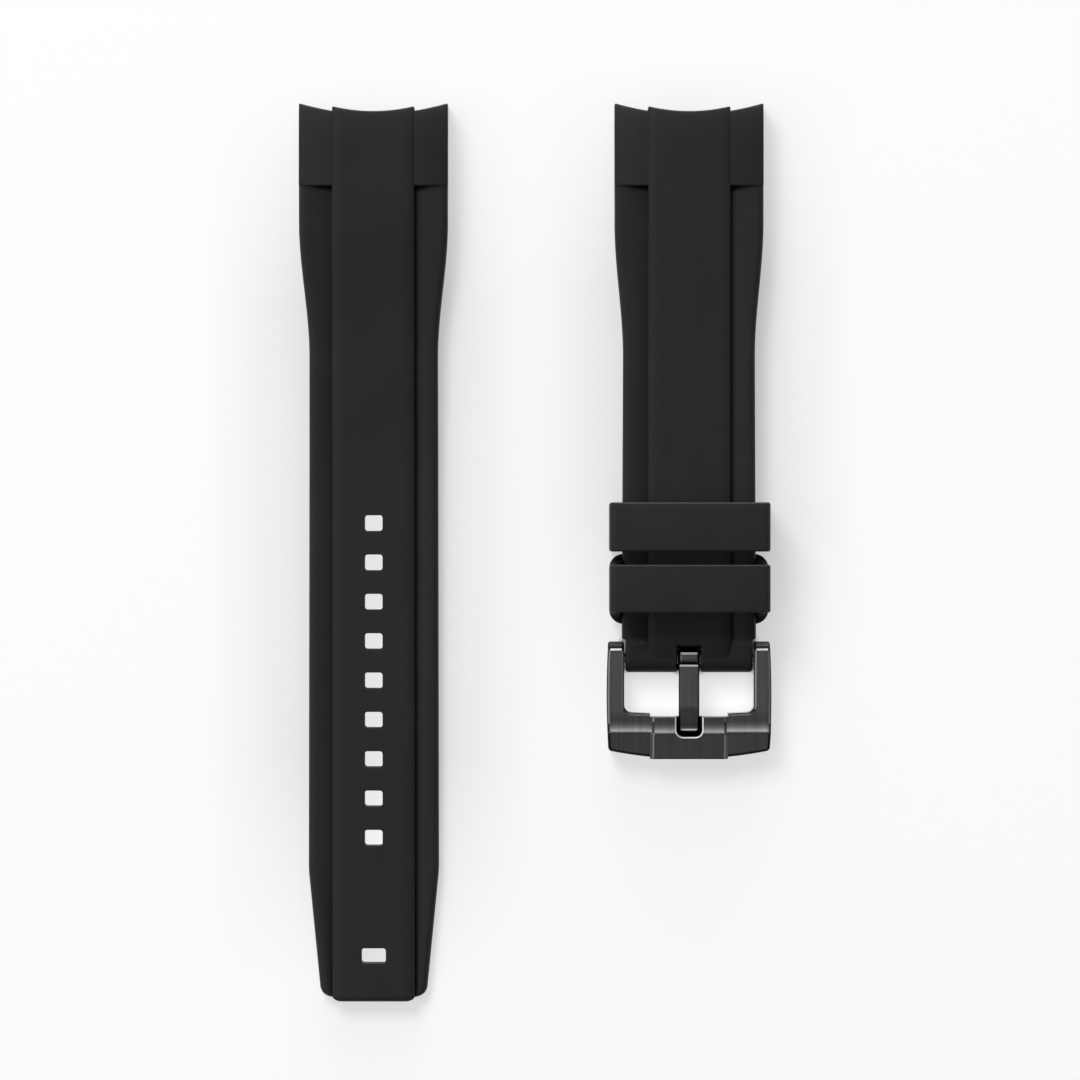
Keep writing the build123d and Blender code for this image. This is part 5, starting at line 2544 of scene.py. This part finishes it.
    def build(self) -> Piece:
        """Make the tongue.

        Returns:
            The tongue, dressed.
        """
        half, root, tip = self.width / 2, self.root_corner, self.tip_corner
        plan = ((-half, self.start, root), (-half, self.length, tip))
        plan += ((half, self.length, tip), (half, self.start, root))
        corners = [(self.at(x, distance), radius) for x, distance, radius in plan]
        root_end = self.start + self.root_run
        tip_start = self.length - self.tip_run
        bends = [root_end, self.start + self.thickness, tip_start]
        bends += spaced(self.flat_length, tip_start, self.bend_step)[:-1]
        edges = (self.rings(), self.foot_rings(), [self.placed(distance) for distance in bends])
        tongue = MilledPiece(corners, self.top, self.low, *edges).build("tongue")
        # the top's faces at the root and the tip are painted as highlights
        for face in tongue.data.polygons:
            at_end = not root_end < self.in_front(face.center.y) < tip_start
            if face.material_index != Finish.PAINTED_SHADE and face.normal.z > self.top_turn:
                face.material_index = Finish.PAINTED_HIGHLIGHT if at_end else Finish.BRUSHED
        work_in(tongue, self.barrel(), Joining.UNION)
        bore = cross_bar("bore", self.places.bar, self.bore_radius, self.width * 2)
        work_in(tongue, bore, Joining.DIFFERENCE)
        self.finish(tongue, "buckle_tongue")
        return tongue


@dataclass
class BarSteel:
    """The turned steel pieces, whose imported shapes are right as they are."""

    nodes: dict[str, Piece]
    finishes: Finishes
    names: tuple[str, ...] = (
        "tail_lug_tube",
        "buckle_lug_tube",
        "spring_bar_tube",
        "spring_bar_pin_left",
        "spring_bar_pin_right",
        "spring_bar_spring",
    )

    def build(self) -> None:
        """Give each piece its finish."""
        for name in self.names:
            node = self.nodes[name]
            node.data.materials.clear()
            node.data.materials.append(self.finishes.turned)
            log.info("%s: turned steel", name)


@dataclass(frozen=True)
class Softbox:
    """A rectangular lamp, in watts and millimetres."""

    name: str
    watts: float
    place: tuple[float, float, float]
    size: tuple[float, float]


@dataclass
class Studio:
    """Floor, light, world and the camera of the photograph."""

    finishes: Finishes
    floor_size: float = 6000.0
    floor_gap: float = 0.02
    photo_pixels: float = 1080.0
    pixels_per_mm: float = 7.45
    photo_middle: tuple[float, float] = (0.66, 1.72)
    lens: float = 200.0
    sensor: float = 36.0
    focus_height: float = 4.5
    clip: tuple[float, float] = (0.01, 50.0)
    zenith: float = 0.15
    middle: float = 0.155
    middle_from: float = 0.6          # how far up the even middle of the dome starts
    middle_to: float = 0.86
    horizon: float = 0.46
    haze: float = 0.3                 # how far up most of the horizon's light has gone
    haze_share: float = 0.3           # and how much of it is left there
    top_glow: float = 15.0            # more light low down towards +Y
    top_glow_power: float = 15.0
    left_glow: float = 1.15           # and from the left, not far from overhead
    left_glow_power: float = 12.0
    left_glow_angle: float = 32.0
    right_shade: float = 0.5
    seen_white: float = 0.985
    key: Softbox = Softbox("key", 14.5, (-450.0, 850.0, 1060.0), (600.0, 600.0))

    def camera(self) -> None:
        """The camera straight above, at the photograph's scale."""
        data = bpy.data.cameras.new("camera")
        data.lens = self.lens
        data.sensor_width = self.sensor
        data.clip_start, data.clip_end = self.clip
        width = self.photo_pixels / self.pixels_per_mm
        height = width * self.lens / self.sensor + self.focus_height
        camera = scene_object("camera", data)
        camera.location = Vector((*self.photo_middle, height)) * MM
        bpy.context.scene.camera = camera

    def lamp(self, box: Softbox) -> None:
        """Put up a softbox that looks at the strap.

        Args:
            box: the softbox.
        """
        data = bpy.data.lights.new(box.name, "AREA")
        data.shape = "RECTANGLE"
        data.energy = box.watts
        data.size = box.size[0] * MM
        data.size_y = box.size[1] * MM
        lamp = scene_object(box.name, data)
        lamp.location = Vector(box.place) * MM
        lamp.rotation_euler = (-lamp.location).to_track_quat("-Z", "Y").to_euler()
        lamp.visible_glossy = False

    def world(self) -> None:
        """A soft dome, dim overhead and towards the bottom, and white where it is seen."""
        world = bpy.data.worlds.new("studio")
        bpy.context.scene.world = world
        tree = ShaderTree(world)
        way = tree.node("ShaderNodeTexCoord", {}, {}).out("Generated")
        ways = tree.node("ShaderNodeSeparateXYZ", {}, {0: way})
        levels = (
            (0.0, self.horizon),
            (self.haze, blend(self.middle, self.horizon, self.haze_share)),
            (self.middle_from, self.middle),
            (self.middle_to, self.middle),
            (1.0, self.zenith),
        )
        dome = tree.ramp(ways.out(2), [(place, grey(level)) for place, level in levels])
        lean = 1.0 - ways.out(0).held() * self.right_shade
        glow = ways.out(1).held().power(self.top_glow_power) * self.top_glow
        angle = math.radians(self.left_glow_angle)
        left = ways.out(2) * math.cos(angle) - ways.out(0) * math.sin(angle)
        glow = glow + left.held().power(self.left_glow_power) * self.left_glow
        seen = tree.node("ShaderNodeLightPath", {}, {}).out("Is Camera Ray")
        shaped = tree.vectors("SCALE", {0: dome, "Scale": lean})
        lit = tree.vectors("ADD", {0: shaped, 1: glow})
        colour = tree.mix(seen, lit, grey(self.seen_white))
        back = tree.node("ShaderNodeBackground", {}, {0: colour, 1: 1.0}).out(0)
        tree.end("ShaderNodeOutputWorld", back)

    def floor(self) -> None:
        """The floor under the strap."""
        half = self.floor_size / 2 * MM
        z = -self.floor_gap * MM
        corners = [(-half, -half, z), (half, -half, z), (half, half, z), (-half, half, z)]
        mesh = bpy.data.meshes.new("floor")
        mesh.from_pydata(corners, [], [(0, 1, 2, 3)])
        mesh.materials.append(self.finishes.floor)
        scene_object("floor", mesh)

    def build(self) -> None:
        """Everything round the strap."""
        self.camera()
        self.world()
        self.floor()
        self.lamp(self.key)
        bpy.context.scene.view_settings.view_transform = "Standard"
        log.info("studio ready")


def main() -> None:
    """Load the frame, and build and dress every piece."""
    logging.basicConfig(level=logging.INFO, format="%(name)s: %(message)s")
    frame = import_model()
    places = Places.read()
    finishes = Finishes(places)
    Studio(finishes).build()
    TailHalf(places, finishes).build()
    BuckleHalf(places, finishes).build()
    FreeKeeper(places, finishes=finishes).build()
    BuckleFrame(places, finishes).build()
    BuckleTongue(places, finishes).build()
    BarSteel(frame["nodes"], finishes).build()


if __name__ == "__main__":
    main()
